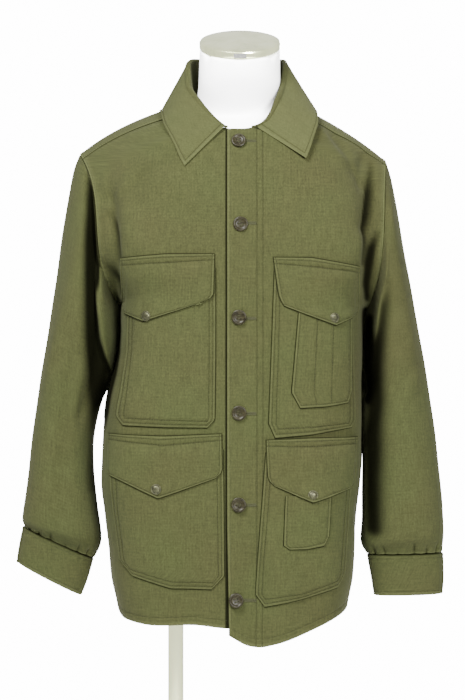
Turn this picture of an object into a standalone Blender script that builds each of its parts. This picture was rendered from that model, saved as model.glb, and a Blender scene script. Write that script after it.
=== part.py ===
"""Wool mackinaw jacket, buttoned, worn on a limbless dress form with a pole and a round base.

Metres, +Z up, floor at z = 0. The jacket's front faces -Y, the wearer's left is at +X.
Every sewn piece is its own solid: an outer surface worked out from the rows of a table, with the
thickness of the cloth given inwards. What lies on a panel is made from that panel's own points.
"""
import math

import bmesh
import bpy
import numpy as np
from mathutils import Vector
from mathutils.bvhtree import BVHTree

# ---- Driving dimensions -------------------------------------------------------------------------
CLOTH = 0.0018          # one layer of wool whipcord
DOUBLE = 0.0024         # two layers sewn together: collar, flaps, cuffs
SEAM_GAP = 0.0005       # parting between two sewn pieces
LAY_GAP = 0.0006        # parting between a piece and the panel that it lies on
PATCH_GAP = 0.0009      # parting under a patch or a flap
SNAP_GAP = 0.00084      # parting under a snap
LAY_LIMIT = 0.030       # no piece is moved further than this to clear another
LAY_SAMPLES = (0, 0.25, 0.5, 0.75, 1)
CENTRE_X = 0.0105       # the button line
HEM_LEVEL = 0.655       # level that the rows of a panel start from
UNDERARM_LEVEL = 1.12
UNDERARM_ROW = 0.60     # share of a panel's rows that lies below the underarm
NECK_ROW = 0.88         # share of the rows where the neckline starts
YOKE_ROW = 0.80         # share of the back's rows where the yoke seam lies
FORWARD_ROW = 0.965     # share of a front's rows where it meets the yoke, forward of the shoulder
TAIL_ROW = 0.30         # share of the rows over which the curved hem fades out
BAND_LEFT = 0.0185      # how far the top front runs past the button line
BAND_RIGHT = 0.020      # how far the front underneath runs past it
PANEL_WIDTH = 0.19      # half a panel across, about, from the button line to the side seam
BAND_SPEED = 2.1        # a panel's share runs faster than its length beside the button line
POLE_X = -0.085
POLE_RADIUS = 0.0115
POLE_GAP = 0.0003       # parting at both ends of the pole
FORM_BOTTOM = 0.700
BASE_RADIUS = 0.190
BASE_THICK = 0.008
BASE_EDGE = 0.002       # bevel round the base's top edge

RIGHT, LEFT = -1, 1     # the wearer's sides, as the sign of x


def table(columns, rows):
    """Named columns of a short table, as arrays."""
    return dict(zip(columns.split(), np.array(rows, float).T))


# Inner end of each row (button line, then neckline) and how the row leaves and arrives:
# share = place in the panel, z and y = inner end, round = angle on the armhole,
# leave and arrive = handle lengths as shares of the span, turn and dip = direction at the outer end.
FRONT = table("share z y round leave arrive turn dip", [
    (0.00, 0.655, -0.1395, 270, 0.72, 0.62, 90, 0),
    (0.20, 0.805, -0.1425, 270, 0.72, 0.62, 90, 0),
    (0.40, 0.965, -0.1425, 270, 0.72, 0.62, 90, 0),
    (0.60, 1.120, -0.1440, 270, 0.72, 0.60, 84, 0),
    (0.70, 1.205, -0.1445, 208, 0.70, 0.45, 62, 0),
    (0.80, 1.295, -0.1360, 168, 0.60, 0.36, 42, 8),
    (0.88, 1.374, -0.1080, 142, 0.40, 0.34, 28, 24),
    (0.94, 1.395, -0.0900, 122, 0.33, 0.32, 16, 36),
    (1.00, 1.420, -0.0250, 105, 0.33, 0.28, 4, 44),
])
BACK = table("share z y round leave arrive turn dip", [
    (0.00, 0.655, 0.1330, -90, 0.66, 0.62, 90, 0),
    (0.20, 0.805, 0.1330, -90, 0.66, 0.62, 90, 0),
    (0.40, 0.965, 0.1300, -90, 0.66, 0.62, 90, 0),
    (0.60, 1.120, 0.1380, -90, 0.66, 0.60, 84, 0),
    (0.70, 1.214, 0.1400, -26, 0.64, 0.45, 60, 0),
    (0.80, 1.312, 0.1290, 30, 0.58, 0.36, 40, 10),
    (0.90, 1.438, 0.0640, 58, 0.36, 0.34, 26, 26),
    (0.95, 1.432, 0.0300, 82, 0.33, 0.32, 12, 38),
    (1.00, 1.420, -0.0250, 105, 0.33, 0.28, 4, 44),
])
BACK_NECK_ROW = 0.90
PANELS = {"front": FRONT, "back": BACK}

# Side seams from the hem to the underarm (x is the distance from the middle).
SIDE_SEAM = {
    RIGHT: table("z x", [(0.655, 0.172), (0.70, 0.182), (0.75, 0.1855), (0.80, 0.190), (0.86, 0.196),
                         (0.93, 0.1945), (0.97, 0.184), (1.01, 0.172), (1.05, 0.164), (1.09, 0.161),
                         (1.12, 0.168)]),
    LEFT: table("z x", [(0.655, 0.172), (0.70, 0.180), (0.75, 0.182), (0.80, 0.185), (0.86, 0.1915),
                        (0.90, 0.194), (0.95, 0.192), (1.00, 0.188), (1.05, 0.187), (1.09, 0.190),
                        (1.113, 0.200)]),
}
SIDE_Y = 0.004

# Shirt-tail hem of each piece: height at x.
HEM = {
    "front_right": table("x z", [(-0.175, 0.6745), (-0.156, 0.660), (-0.112, 0.655), (-0.057, 0.656),
                                 (-0.014, 0.652), (0.030, 0.650)]),
    "front_left": table("x z", [(-0.014, 0.648), (0.001, 0.638), (0.025, 0.6266), (0.040, 0.625),
                                (0.060, 0.6288), (0.097, 0.641), (0.1375, 0.6566), (0.176, 0.6745)]),
    "back": table("x z", [(-0.175, 0.6745), (-0.150, 0.655), (-0.100, 0.640), (0.000, 0.634),
                          (0.100, 0.640), (0.150, 0.655), (0.176, 0.6745)]),
}

# Neckline, from the front (0) round the side (90) to the back (180).
NECK = table("angle z", [(-30, 1.378), (0, 1.374), (30, 1.382), (60, 1.402), (90, 1.424), (120, 1.434),
                         (180, 1.438)])
NECK_HALF_WIDTH = 0.070
NECK_Y = -0.014
NECK_FORE, NECK_AFT = 0.094, 0.078
SHOULDER_ANGLE = 96     # where the shoulder seam meets the neckline

# Sleeves, ring by ring from the armhole to the cuff seam: outer and inner point in front view,
# middle depth, half depth, how square the ring is, how far its front and back bow inwards, and how
# upright they stand.
SLEEVE = {
    RIGHT: table("out_x out_z in_x in_z y fore square bow upright", [
        (0.2295, 1.345, 0.1680, 1.1200, 0.002, 0.079, 2.0, 0, 0.75),
        (0.2375, 1.322, 0.1765, 1.1040, 0.002, 0.084, 2.1, 0, 0.6),
        (0.2445, 1.285, 0.1775, 1.0820, 0.001, 0.088, 2.2, 0, 0.4),
        (0.2535, 1.225, 0.1770, 1.0610, 0.000, 0.090, 2.3, 0, 0.2),
        (0.2650, 1.150, 0.1765, 1.0400, -0.002, 0.088, 2.3, 0, 0.1),
        (0.2790, 1.065, 0.1800, 1.0100, -0.004, 0.080, 2.3, 0, 0),
        (0.2880, 1.000, 0.1960, 0.9720, -0.008, 0.072, 2.3, 0, 0),
        (0.2985, 0.920, 0.2070, 0.9050, -0.012, 0.066, 2.3, 0, 0),
        (0.3080, 0.840, 0.2020, 0.8250, -0.016, 0.062, 2.3, 0, 0),
        (0.3125, 0.803, 0.1955, 0.7720, -0.020, 0.055, 2.3, 0, 0),
        (0.3098, 0.7915, 0.2060, 0.7440, -0.022, 0.034, 2.3, 0, 0)]),
    LEFT: table("out_x out_z in_x in_z y fore square bow upright", [
        (0.2300, 1.335, 0.2000, 1.1130, 0.002, 0.079, 2.0, -0.007, 0.6),
        (0.2375, 1.312, 0.2075, 1.0970, 0.002, 0.084, 2.1, -0.006, 0.5),
        (0.2450, 1.272, 0.2080, 1.0750, 0.001, 0.088, 2.2, -0.005, 0.35),
        (0.2545, 1.215, 0.2060, 1.0520, 0.000, 0.089, 2.3, -0.003, 0.2),
        (0.2655, 1.150, 0.2030, 1.0280, -0.002, 0.086, 2.3, -0.001, 0.1),
        (0.2790, 1.075, 0.2010, 0.9950, -0.005, 0.078, 2.3, 0, 0),
        (0.2920, 1.000, 0.2040, 0.9550, -0.008, 0.070, 2.3, 0, 0),
        (0.3050, 0.900, 0.2010, 0.8800, -0.012, 0.065, 2.3, 0, 0),
        (0.3130, 0.820, 0.1945, 0.8080, -0.016, 0.061, 2.3, 0, 0),
        (0.3150, 0.782, 0.1915, 0.7720, -0.019, 0.055, 2.3, 0, 0),
        (0.3120, 0.7525, 0.2000, 0.7500, -0.022, 0.034, 2.3, 0, 0)]),
}
CUFF = {
    RIGHT: table("out_x out_z in_x in_z y fore square bow upright", [
        (0.3102, 0.7905, 0.2066, 0.7428, -0.022, 0.0340, 2.3, 0, 0),
        (0.3165, 0.7580, 0.2160, 0.7120, -0.022, 0.0300, 2.3, 0, 0),
        (0.3197, 0.7366, 0.2250, 0.6880, -0.022, 0.0265, 2.2, 0, 0)]),
    LEFT: table("out_x out_z in_x in_z y fore square bow upright", [
        (0.3120, 0.7513, 0.2002, 0.7488, -0.022, 0.0340, 2.3, 0, 0),
        (0.3125, 0.7180, 0.2060, 0.7150, -0.022, 0.0300, 2.3, 0, 0),
        (0.3110, 0.6905, 0.2100, 0.6880, -0.022, 0.0265, 2.2, 0, 0)]),
}
GATHERS = 11            # small pleats where each sleeve is gathered into its cuff
GATHER_DEPTH = 0.0035

# Folds of the fronts, in front view: from one point to another, half width, and height outwards
# (a negative height is a trough).
FRONT_FOLDS = table("x0 z0 x1 z1 wide high", [
    (-0.180, 1.270, -0.172, 1.150, 0.012, -0.009),
    (-0.158, 1.300, -0.150, 1.220, 0.014, 0.004),
    (-0.150, 1.330, -0.060, 1.270, 0.020, 0.004),
    (0.128, 1.372, 0.165, 1.330, 0.010, 0.005),
    (0.150, 1.362, 0.190, 1.300, 0.010, -0.005),
    (0.196, 1.330, 0.192, 1.235, 0.012, -0.009),
    (0.205, 1.225, 0.196, 1.150, 0.012, -0.008),
    (-0.150, 0.960, -0.168, 0.860, 0.020, 0.005),
    (0.150, 0.940, 0.166, 0.820, 0.022, -0.006),
    (0.030, 0.750, 0.020, 0.660, 0.018, -0.005),
    (0.070, 0.760, 0.075, 0.650, 0.024, 0.005),
    (-0.060, 0.760, -0.070, 0.660, 0.026, -0.005),
])
BACK_FOLDS = table("x0 z0 x1 z1 wide high", [
    (-0.165, 1.260, -0.150, 1.080, 0.016, -0.010),
    (0.180, 1.255, 0.165, 1.070, 0.016, -0.010),
    (-0.090, 1.020, -0.105, 0.760, 0.030, 0.007),
    (0.080, 1.040, 0.100, 0.770, 0.030, 0.007),
    (0.000, 0.980, -0.010, 0.700, 0.034, -0.008),
    (-0.120, 1.230, -0.040, 1.150, 0.024, 0.004),
    (0.130, 1.230, 0.050, 1.150, 0.024, 0.004),
])
# Folds of the sleeves: angle round the sleeve (90 outside, 180 front, 270 inside) and share of its
# length at both ends, half width, height.
SLEEVE_FOLDS = {
    RIGHT: table("a0 t0 a1 t1 wide high", [
        (205, 0.16, 212, 0.62, 0.013, -0.016),
        (165, 0.20, 140, 0.55, 0.020, 0.004),
        (235, 0.62, 150, 0.52, 0.014, 0.007),
        (240, 0.70, 160, 0.64, 0.013, -0.007),
        (200, 0.72, 130, 0.90, 0.016, 0.005),
        (230, 0.86, 170, 0.93, 0.014, -0.006),
        (20, 0.20, -20, 0.56, 0.022, -0.006),
        (30, 0.62, -40, 0.68, 0.020, -0.005)]),
    LEFT: table("a0 t0 a1 t1 wide high", [
        (212, 0.16, 218, 0.66, 0.016, -0.016),
        (150, 0.16, 150, 0.50, 0.020, 0.004),
        (235, 0.66, 150, 0.58, 0.014, 0.006),
        (240, 0.74, 165, 0.70, 0.013, -0.006),
        (215, 0.80, 150, 0.94, 0.016, 0.005),
        (20, 0.20, -20, 0.56, 0.022, -0.006),
        (30, 0.64, -40, 0.70, 0.020, -0.005)]),
}

# Collar, station by station from the back (0) to the front end (180 would be the centre front):
# fold line and free edge, x measured from the button line.
COLLAR = {
    RIGHT: table("angle fold_x fold_y fold_z edge_x edge_y edge_z", [
        (0, 0.000, 0.0600, 1.4960, 0.0000, 0.1010, 1.4080),
        (40, 0.042, 0.0460, 1.4950, 0.0700, 0.0830, 1.4080),
        (75, 0.066, 0.0180, 1.4920, 0.1080, 0.0340, 1.4100),
        (100, 0.0725, -0.016, 1.4800, 0.1180, -0.0200, 1.4080),
        (125, 0.0710, -0.048, 1.4480, 0.1120, -0.0720, 1.3850),
        (145, 0.0530, -0.080, 1.4160, 0.0960, -0.1080, 1.3530),
        (158, 0.0310, -0.100, 1.3930, 0.0860, -0.1230, 1.3300),
        (166, 0.0200, -0.109, 1.3830, 0.0800, -0.1290, 1.3186)]),
    LEFT: table("angle fold_x fold_y fold_z edge_x edge_y edge_z", [
        (0, 0.000, 0.0600, 1.4960, 0.0000, 0.1010, 1.4080),
        (40, 0.042, 0.0460, 1.4950, 0.0700, 0.0830, 1.4080),
        (75, 0.0640, 0.0180, 1.4910, 0.1060, 0.0340, 1.4100),
        (100, 0.0640, -0.016, 1.4790, 0.1160, -0.0200, 1.4080),
        (125, 0.0590, -0.048, 1.4460, 0.1160, -0.0720, 1.3900),
        (145, 0.0500, -0.080, 1.4200, 0.1080, -0.1020, 1.3620),
        (158, 0.0380, -0.098, 1.3950, 0.1010, -0.1180, 1.3420),
        (166, 0.0230, -0.108, 1.3850, 0.0960, -0.1250, 1.3297)]),
}

# Patches and flaps in front view, row by row from the lower edge: three points on each row
# (towards the buttons, the middle or the point, towards the side).
PATCH_COLUMNS = "xa za xm zm xb zb"
# name: (side, thickness, what it lies on, rows)
PATCHES = {
    "chest_pocket_right": (RIGHT, CLOTH, ("front_right",), [
        (-0.0360, 0.9400, -0.0980, 0.9405, -0.1560, 0.9430),
        (-0.0245, 0.9520, -0.0980, 0.9550, -0.1680, 0.9580),
        (-0.0235, 1.0500, -0.0980, 1.0500, -0.1540, 1.0500),
        (-0.0235, 1.1700, -0.0980, 1.1700, -0.1500, 1.1680)]),
    "chest_pocket_left": (LEFT, CLOTH, ("front_left",), [
        (0.0610, 0.9250, 0.1150, 0.9300, 0.1720, 0.9400),
        (0.0510, 0.9470, 0.1150, 0.9480, 0.1790, 0.9520),
        (0.0550, 1.0500, 0.1150, 1.0500, 0.1760, 1.0500),
        (0.0590, 1.1660, 0.1150, 1.1680, 0.1740, 1.1600)]),
    "lower_pocket_right": (RIGHT, CLOTH, ("front_right",), [
        (-0.0300, 0.7080, -0.0880, 0.7090, -0.1430, 0.7260),
        (-0.0110, 0.7280, -0.0880, 0.7300, -0.1640, 0.7500),
        (-0.0115, 0.8200, -0.0950, 0.8200, -0.1740, 0.8260),
        (-0.0125, 0.9100, -0.0950, 0.9140, -0.1760, 0.9140)]),
    "lower_pocket_left": (LEFT, CLOTH, ("front_left",), [
        (0.0465, 0.6830, 0.1000, 0.6940, 0.1510, 0.7080),
        (0.0325, 0.7020, 0.1000, 0.7080, 0.1640, 0.7300),
        (0.0390, 0.8000, 0.1050, 0.8040, 0.1700, 0.8200),
        (0.0470, 0.9060, 0.1120, 0.9090, 0.1770, 0.9090)]),
    "pencil_pocket": (LEFT, CLOTH, ("chest_pocket_left",), [
        (0.0960, 0.9680, 0.1280, 0.9700, 0.1640, 0.9760),
        (0.0830, 0.9920, 0.1260, 0.9920, 0.1700, 0.9940),
        (0.0930, 1.1060, 0.1300, 1.1060, 0.1700, 1.1060)]),
    "small_pocket": (LEFT, CLOTH, ("lower_pocket_left",), [
        (0.0800, 0.7660, 0.1040, 0.7660, 0.1290, 0.7700),
        (0.0715, 0.7720, 0.1050, 0.7760, 0.1365, 0.7860),
        (0.0750, 0.8430, 0.1060, 0.8430, 0.1390, 0.8430)]),
    "chest_flap_right": (RIGHT, DOUBLE, ("front_right", "chest_pocket_right"), [
        (-0.0480, 1.1190, -0.1240, 1.0925, -0.1560, 1.1060),
        (-0.0260, 1.1330, -0.1240, 1.1080, -0.1600, 1.1200),
        (-0.0250, 1.1910, -0.0960, 1.1910, -0.1615, 1.1860)]),
    "chest_flap_left": (LEFT, DOUBLE, ("front_left", "chest_pocket_left", "pencil_pocket"), [
        (0.0730, 1.1150, 0.1440, 1.0870, 0.1800, 1.1050),
        (0.0655, 1.1300, 0.1440, 1.1040, 0.1840, 1.1200),
        (0.0575, 1.1860, 0.1120, 1.1860, 0.1830, 1.1740)]),
    "lower_flap_right": (RIGHT, DOUBLE, ("front_right", "lower_pocket_right"), [
        (-0.0240, 0.8680, -0.1060, 0.8390, -0.1720, 0.8710),
        (-0.0140, 0.8820, -0.1060, 0.8560, -0.1780, 0.8860),
        (-0.0150, 0.9330, -0.1000, 0.9300, -0.1800, 0.9320)]),
    "lower_flap_left": (LEFT, DOUBLE, ("front_left", "lower_pocket_left", "small_pocket"), [
        (0.0600, 0.8570, 0.1140, 0.8330, 0.1700, 0.8530),
        (0.0500, 0.8700, 0.1140, 0.8500, 0.1790, 0.8680),
        (0.0475, 0.9240, 0.1120, 0.9270, 0.1810, 0.9270)]),
}
POCKET_BULGE = 0.0030   # how far the middle of a pocket stands off the front

BUTTONS = table("x z tilt", [(0.0090, 1.3545, 0), (0.0116, 1.2330, 0), (0.0093, 1.0994, 0),
                             (0.0095, 0.9621, 0), (0.0089, 0.8304, 6), (0.0047, 0.6930, 10)])
BUTTON_RADIUS = 0.0107
BUTTON_THICK = 0.0036
BUTTON_SEAT = 0.66      # radius of a button's flat back, as a share of its own
CUFF_BUTTON_RADIUS = 0.0080
CUFF_BUTTON_THICK = 0.0030
CUFF_BUTTON_ANGLE = 40  # round the cuff: between its back (0) and its outer side (90)
SNAPS = {"snap_chest_right": ("chest_flap_right", -0.1236, 1.1015),
         "snap_chest_left": ("chest_flap_left", 0.1455, 1.0990),
         "snap_lower_right": ("lower_flap_right", -0.1093, 0.8530),
         "snap_lower_left": ("lower_flap_left", 0.1150, 0.8440)}
SNAP_RADIUS = 0.0076
SNAP_THICK = 0.0030

# Dress form: half width, front and back depth at each level; the neck leans forward.
FORM = table("z x wide front back", [
    (0.700, -0.004, 0.128, -0.088, 0.090), (0.712, -0.004, 0.146, -0.102, 0.104),
    (0.760, -0.002, 0.160, -0.112, 0.116), (0.860, 0.000, 0.170, -0.112, 0.118),
    (0.960, 0.006, 0.156, -0.104, 0.104), (1.060, 0.011, 0.146, -0.108, 0.104),
    (1.180, 0.012, 0.156, -0.122, 0.118), (1.260, 0.008, 0.176, -0.116, 0.120),
    (1.310, 0.006, 0.186, -0.100, 0.110), (1.342, 0.008, 0.172, -0.088, 0.098),
    (1.370, 0.010, 0.140, -0.078, 0.088), (1.394, 0.0105, 0.106, -0.072, 0.074),
    (1.412, 0.0105, 0.074, -0.068, 0.058), (1.432, 0.0105, 0.0625, -0.078, 0.040),
    (1.462, 0.0105, 0.0605, -0.090, 0.026), (1.500, 0.0110, 0.0600, -0.094, 0.020)])
FORM_CLEAR = 0.0006     # parting where the jacket rests on the form
FORM_GIVE = 0.012       # the form is drawn in by no more than this where the cloth lies on it
FORM_SHOULDER_TOP = 1.418
NECK_TILT = math.radians(24)
TILT_START, TILT_RISE = 1.43, 0.07      # level where the neck starts to tilt, and over what height
FORM_SQUARE = 2.25      # how square the form's sections are (2 is an ellipse)
CAP_RADIUS = 0.0600
CAP_THICK = 0.011

COLOURS = {                             # base colour (linear), roughness, metallic
    "wool": ((0.143, 0.152, 0.062, 1), 0.92, 0.0),
    "button": ((0.050, 0.038, 0.020, 1), 0.28, 0.0),
    "snap": ((0.060, 0.055, 0.045, 1), 0.35, 0.9),
    "form": ((0.86, 0.86, 0.86, 1), 0.45, 0.0),
    "chrome": ((0.62, 0.62, 0.60, 1), 0.15, 1.0),
}


# ---- Curves and surfaces ------------------------------------------------------------------------
def curve(keys, values, at):
    """Smooth curve through table rows that never overshoots them."""
    step = np.diff(keys)
    slope = np.diff(values) / step
    tangent = np.empty(len(keys))
    tangent[0], tangent[-1] = slope[0], slope[-1]
    level = slope[:-1] * slope[1:] <= 0
    total = np.where(level, 1, slope[:-1] + slope[1:])
    tangent[1:-1] = np.where(level, 0, 2 * slope[:-1] * slope[1:] / total)
    at = np.clip(at, keys[0], keys[-1])
    i = np.clip(np.searchsorted(keys, at, side="right") - 1, 0, len(step) - 1)
    t = (at - keys[i]) / step[i]
    rise = (3 - 2 * t) * t * t
    return (values[i] * (1 - rise) + values[i + 1] * rise
            + step[i] * (tangent[i] * t * (1 - t) ** 2 - tangent[i + 1] * t * t * (1 - t)))


def fade(x):
    """Smooth step from 0 to 1."""
    x = np.clip(x, 0, 1)
    return x * x * (3 - 2 * x)


def stack(*parts):
    return np.stack(np.broadcast_arrays(*parts), axis=-1)


def ring(rings, share, angle, side):
    """Points of a tube: share of its length, angle in degrees (90 outside, 180 front)."""
    keys = np.linspace(0, 1, len(rings["y"]))
    row = {name: curve(keys, column, share) for name, column in rings.items()}
    sine, cosine = np.sin(np.radians(angle)), np.cos(np.radians(angle))
    out = np.sign(sine) * np.abs(sine) ** (2 / row["square"])
    back = np.sign(cosine) * np.abs(cosine) ** (2 / row["square"])
    half = (row["out_x"] - row["in_x"]) / 2 * (1 - row["upright"] * cosine ** 2)
    x = (row["out_x"] + row["in_x"]) / 2 + out * half - row["bow"] * cosine ** 2
    z = (row["out_z"] + row["in_z"]) / 2 + out * (row["out_z"] - row["in_z"]) / 2
    return stack(side * x, row["y"] + back * row["fore"], z)


def neckline(side, angle):
    """Neckline point: 0 at the centre front, 90 at the side, 180 at the back."""
    sine, cosine = np.sin(np.radians(angle)), np.cos(np.radians(angle))
    reach = np.where(cosine > 0, NECK_FORE, NECK_AFT)
    return stack(CENTRE_X + side * NECK_HALF_WIDTH * sine, NECK_Y - reach * cosine,
                 curve(NECK["angle"], NECK["z"], angle))


def panel(side, face, u, v, hem):
    """Half of the body's outer surface: u from the centre line (0) to the side seam or the armhole
    (1), v from the hem (0) to the shoulder seam (1)."""
    rows = PANELS[face]
    keys = rows["share"]
    neck_row = NECK_ROW if face == "front" else BACK_NECK_ROW
    start = 0 if face == "front" else 180
    turned = (v - neck_row) / (1 - neck_row)
    inner_line = stack(CENTRE_X + 0 * v, curve(keys, rows["y"], v), curve(keys, rows["z"], v))
    angle = start + (SHOULDER_ANGLE - start) * np.clip(turned, 0, 1)
    inner = np.where((v > neck_row)[..., None], neckline(side, angle), inner_line)

    seam = SIDE_SEAM[side]
    level = HEM_LEVEL + (seam["z"][-1] - HEM_LEVEL) * np.clip(v / UNDERARM_ROW, 0, 1)
    seam_line = stack(side * curve(seam["z"], seam["x"], level), SIDE_Y + 0 * v, level)
    armhole = ring(SLEEVE[side], 0 * v, curve(keys, rows["round"], v), side)
    outer = np.where((v > UNDERARM_ROW)[..., None], armhole, seam_line)

    span = np.abs(outer - inner)
    turn, dip = np.radians(curve(keys, rows["turn"], v)), np.radians(curve(keys, rows["dip"], v))
    arrive = curve(keys, rows["arrive"], v)
    back = 1 if face == "front" else -1
    handle_in = stack(side * curve(keys, rows["leave"], v) * span[..., 0], 0 * v,
                      (outer - inner)[..., 2] * 0.25 * fade((v - neck_row) / 0.04))
    plan = arrive * np.hypot(span[..., 0], span[..., 1])
    handle_out = stack(side * plan * np.cos(turn), back * plan * np.sin(turn),
                       np.where(dip > 0, -plan * np.tan(dip), (outer - inner)[..., 2] * 0.25))
    u1 = u[..., None]
    points = (inner * (1 - u1) ** 3 + 3 * (inner + handle_in) * (1 - u1) ** 2 * u1
              + 3 * (outer - handle_out) * (1 - u1) * u1 ** 2 + outer * u1 ** 3)
    drop = curve(HEM[hem]["x"], HEM[hem]["z"], points[..., 0]) - HEM_LEVEL
    points[..., 2] += drop * (1 - fade(v / TAIL_ROW))
    return points


def fold_height(folds, across, along):
    """Sum of soft ridges and troughs, each along a line from one point to another."""
    total = np.zeros(np.broadcast(across, along).shape)
    for row in zip(*folds.values()):
        x0, z0, x1, z1, wide, high = row
        dx, dz = x1 - x0, z1 - z0
        length = math.hypot(dx, dz)
        t = ((across - x0) * dx + (along - z0) * dz) / length ** 2
        aside = ((across - x0) * dz - (along - z0) * dx) / length
        past = np.maximum(np.maximum(-t, t - 1), 0) * length
        total += high * np.exp(-(aside / wide) ** 2 - (past / (1.3 * wide)) ** 2)
    return total


def normals(surface, u, v):
    """Unit normals of a surface function at u, v."""
    e = 1e-3
    across = surface(u + e, v) - surface(u - e, v)
    along = surface(u, v + e) - surface(u, v - e)
    n = np.cross(across, along)
    return n / np.maximum(np.linalg.norm(n, axis=-1, keepdims=True), 1e-12)


def skin(side, face, hem, u, v, inward=None):
    """A body panel's outer surface with its folds; inward moves it towards the form."""
    def plain(a, b):
        return panel(side, face, np.clip(a, 0, 1), np.clip(b, 0, 1), hem)
    points = plain(u, v)
    out = normals(plain, np.clip(u, 2e-3, 1 - 2e-3), np.clip(v, 2e-3, 1 - 2e-3))
    out *= side if face == "front" else -side
    folds = FRONT_FOLDS if face == "front" else BACK_FOLDS
    height = fold_height(folds, points[..., 0], points[..., 2])
    height *= fade((1 - u) / 0.06) * fade((1 - v) / 0.06)
    if inward is not None:
        height = height - inward(u)
    return points + out * height[..., None]


def under_layer(u):
    """How far the front underneath lies inside the top one; it comes level beside the band."""
    return (CLOTH + 2 * LAY_GAP) * (1 - fade((u - 0.10) / 0.25))


def front_skin(side, u, v):
    if side == LEFT:
        return skin(LEFT, "front", "front_left", u, v)
    return skin(RIGHT, "front", "front_right", u, v, under_layer)


def sleeve_skin(side, share, angle):
    """A sleeve's outer surface with its folds and the gathers above the cuff."""
    def plain(a, b):
        return ring(SLEEVE[side], np.clip(a, 0, 1), b, side)
    points = plain(share, angle)
    e = 1e-3
    along = plain(share + e, angle) - plain(share - e, angle)
    around = plain(share, angle + 1) - plain(share, angle - 1)
    out = np.cross(around, along) * side
    out /= np.maximum(np.linalg.norm(out, axis=-1, keepdims=True), 1e-12)
    arc, length = 0.075 * np.radians(1), 0.62
    height = 0
    for turn in (0, 360):
        wrapped = (angle + turn) % 720 * arc
        scaled = dict(SLEEVE_FOLDS[side])
        scaled["a0"], scaled["a1"] = scaled["a0"] * arc, scaled["a1"] * arc
        scaled["t0"], scaled["t1"] = scaled["t0"] * length, scaled["t1"] * length
        height = height + fold_height(scaled, wrapped - turn * arc, share * length)
    height *= fade(share / 0.10) * fade((1 - share) / 0.05)
    pleats = np.cos(np.radians(angle) * GATHERS) * fade((share - 0.84) / 0.12)
    height += GATHER_DEPTH * pleats * (1 - 0.9 * fade((share - 0.97) / 0.03))
    return points + out * height[..., None]


def locate(side, x, z):
    """Where on a front the point (x, z) of the front view lies, as u and v."""
    u = np.clip((x * side + 0.01) / PANEL_WIDTH, 0.05, 0.95)
    v = np.clip((z - HEM_LEVEL) / (UNDERARM_LEVEL - HEM_LEVEL) * UNDERARM_ROW, 0.02, 0.98)
    e = 1e-3
    for _ in range(14):
        at = front_skin(side, u, v)[..., [0, 2]]
        by_u = (front_skin(side, u + e, v)[..., [0, 2]] - at) / e
        by_v = (front_skin(side, u, v + e)[..., [0, 2]] - at) / e
        miss = np.stack([x, z], axis=-1) - at
        det = by_u[..., 0] * by_v[..., 1] - by_u[..., 1] * by_v[..., 0]
        det = np.where(np.abs(det) < 1e-4, 1e-4, det)
        du = (miss[..., 0] * by_v[..., 1] - miss[..., 1] * by_v[..., 0]) / det
        dv = (by_u[..., 0] * miss[..., 1] - by_u[..., 1] * miss[..., 0]) / det
        u = np.clip(u + np.clip(du, -0.1, 0.1), 0.0, 0.985)
        v = np.clip(v + np.clip(dv, -0.1, 0.1), 0.0, 0.985)
    return u, v


def on_front(side, x, z, lift):
    """Points of a front at (x, z) of the front view, moved out from its outer face by lift."""
    u, v = locate(side, x, z)
    points = front_skin(side, u, v)
    out = side * normals(lambda a, b: front_skin(side, a, b), u, v)
    return points + out * np.asarray(lift)[..., None]


# ---- Making the solids --------------------------------------------------------------------------
for thing in list(bpy.data.objects):
    bpy.data.objects.remove(thing)
collection = bpy.data.collections.new("mackinaw_jacket_on_form")
bpy.context.scene.collection.children.link(collection)


def material(name):
    found = bpy.data.materials.get(name)
    if found:
        return found
    colour, rough, metal = COLOURS[name]
    made = bpy.data.materials.new(name)
    made.use_nodes = True
    shader = made.node_tree.nodes["Principled BSDF"]
    shader.inputs["Base Color"].default_value = colour
    shader.inputs["Roughness"].default_value = rough
    shader.inputs["Metallic"].default_value = metal
    return made


def add_object(name, mesh, finish):
    made = bpy.data.objects.new(name, mesh)
    made.data.materials.append(material(finish))
    made.data.shade_smooth()
    collection.objects.link(made)
    return made


def sheet_mesh(name, grids, closed=False, flip=False):
    """Loft through the rows of each grid; grids that share an edge become one sheet."""
    bm = bmesh.new()
    for grid in grids:
        rows, columns = grid.shape[:2]
        corners = [[bm.verts.new(Vector(p)) for p in row] for row in grid]
        for r in range(rows - 1):
            for c in range(columns if closed else columns - 1):
                n = (c + 1) % columns
                face = [corners[r][c], corners[r][n], corners[r + 1][n], corners[r + 1][c]]
                bm.faces.new(face[::-1] if flip else face)
    bmesh.ops.remove_doubles(bm, verts=bm.verts, dist=0.00005)
    mesh = bpy.data.meshes.new(name)
    bm.to_mesh(mesh)
    bm.free()
    return mesh


def cloth(name, grids, thickness=CLOTH, closed=False, flip=False, even=True):
    """A cloth piece: its outer surface, with the wall's thickness given inwards."""
    made = add_object(name, sheet_mesh(name, grids, closed, flip), "wool")
    wall = made.modifiers.new("wall", "SOLIDIFY")
    wall.thickness = thickness
    wall.offset = -1
    wall.use_even_offset = even
    return made


def grid(us, vs):
    return np.meshgrid(np.asarray(us, float), np.asarray(vs, float))


def spaced(start, end, count):
    return np.linspace(start, end, count)


def share_at(length):
    """A length across a panel as a share of its width."""
    return length / PANEL_WIDTH


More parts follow.
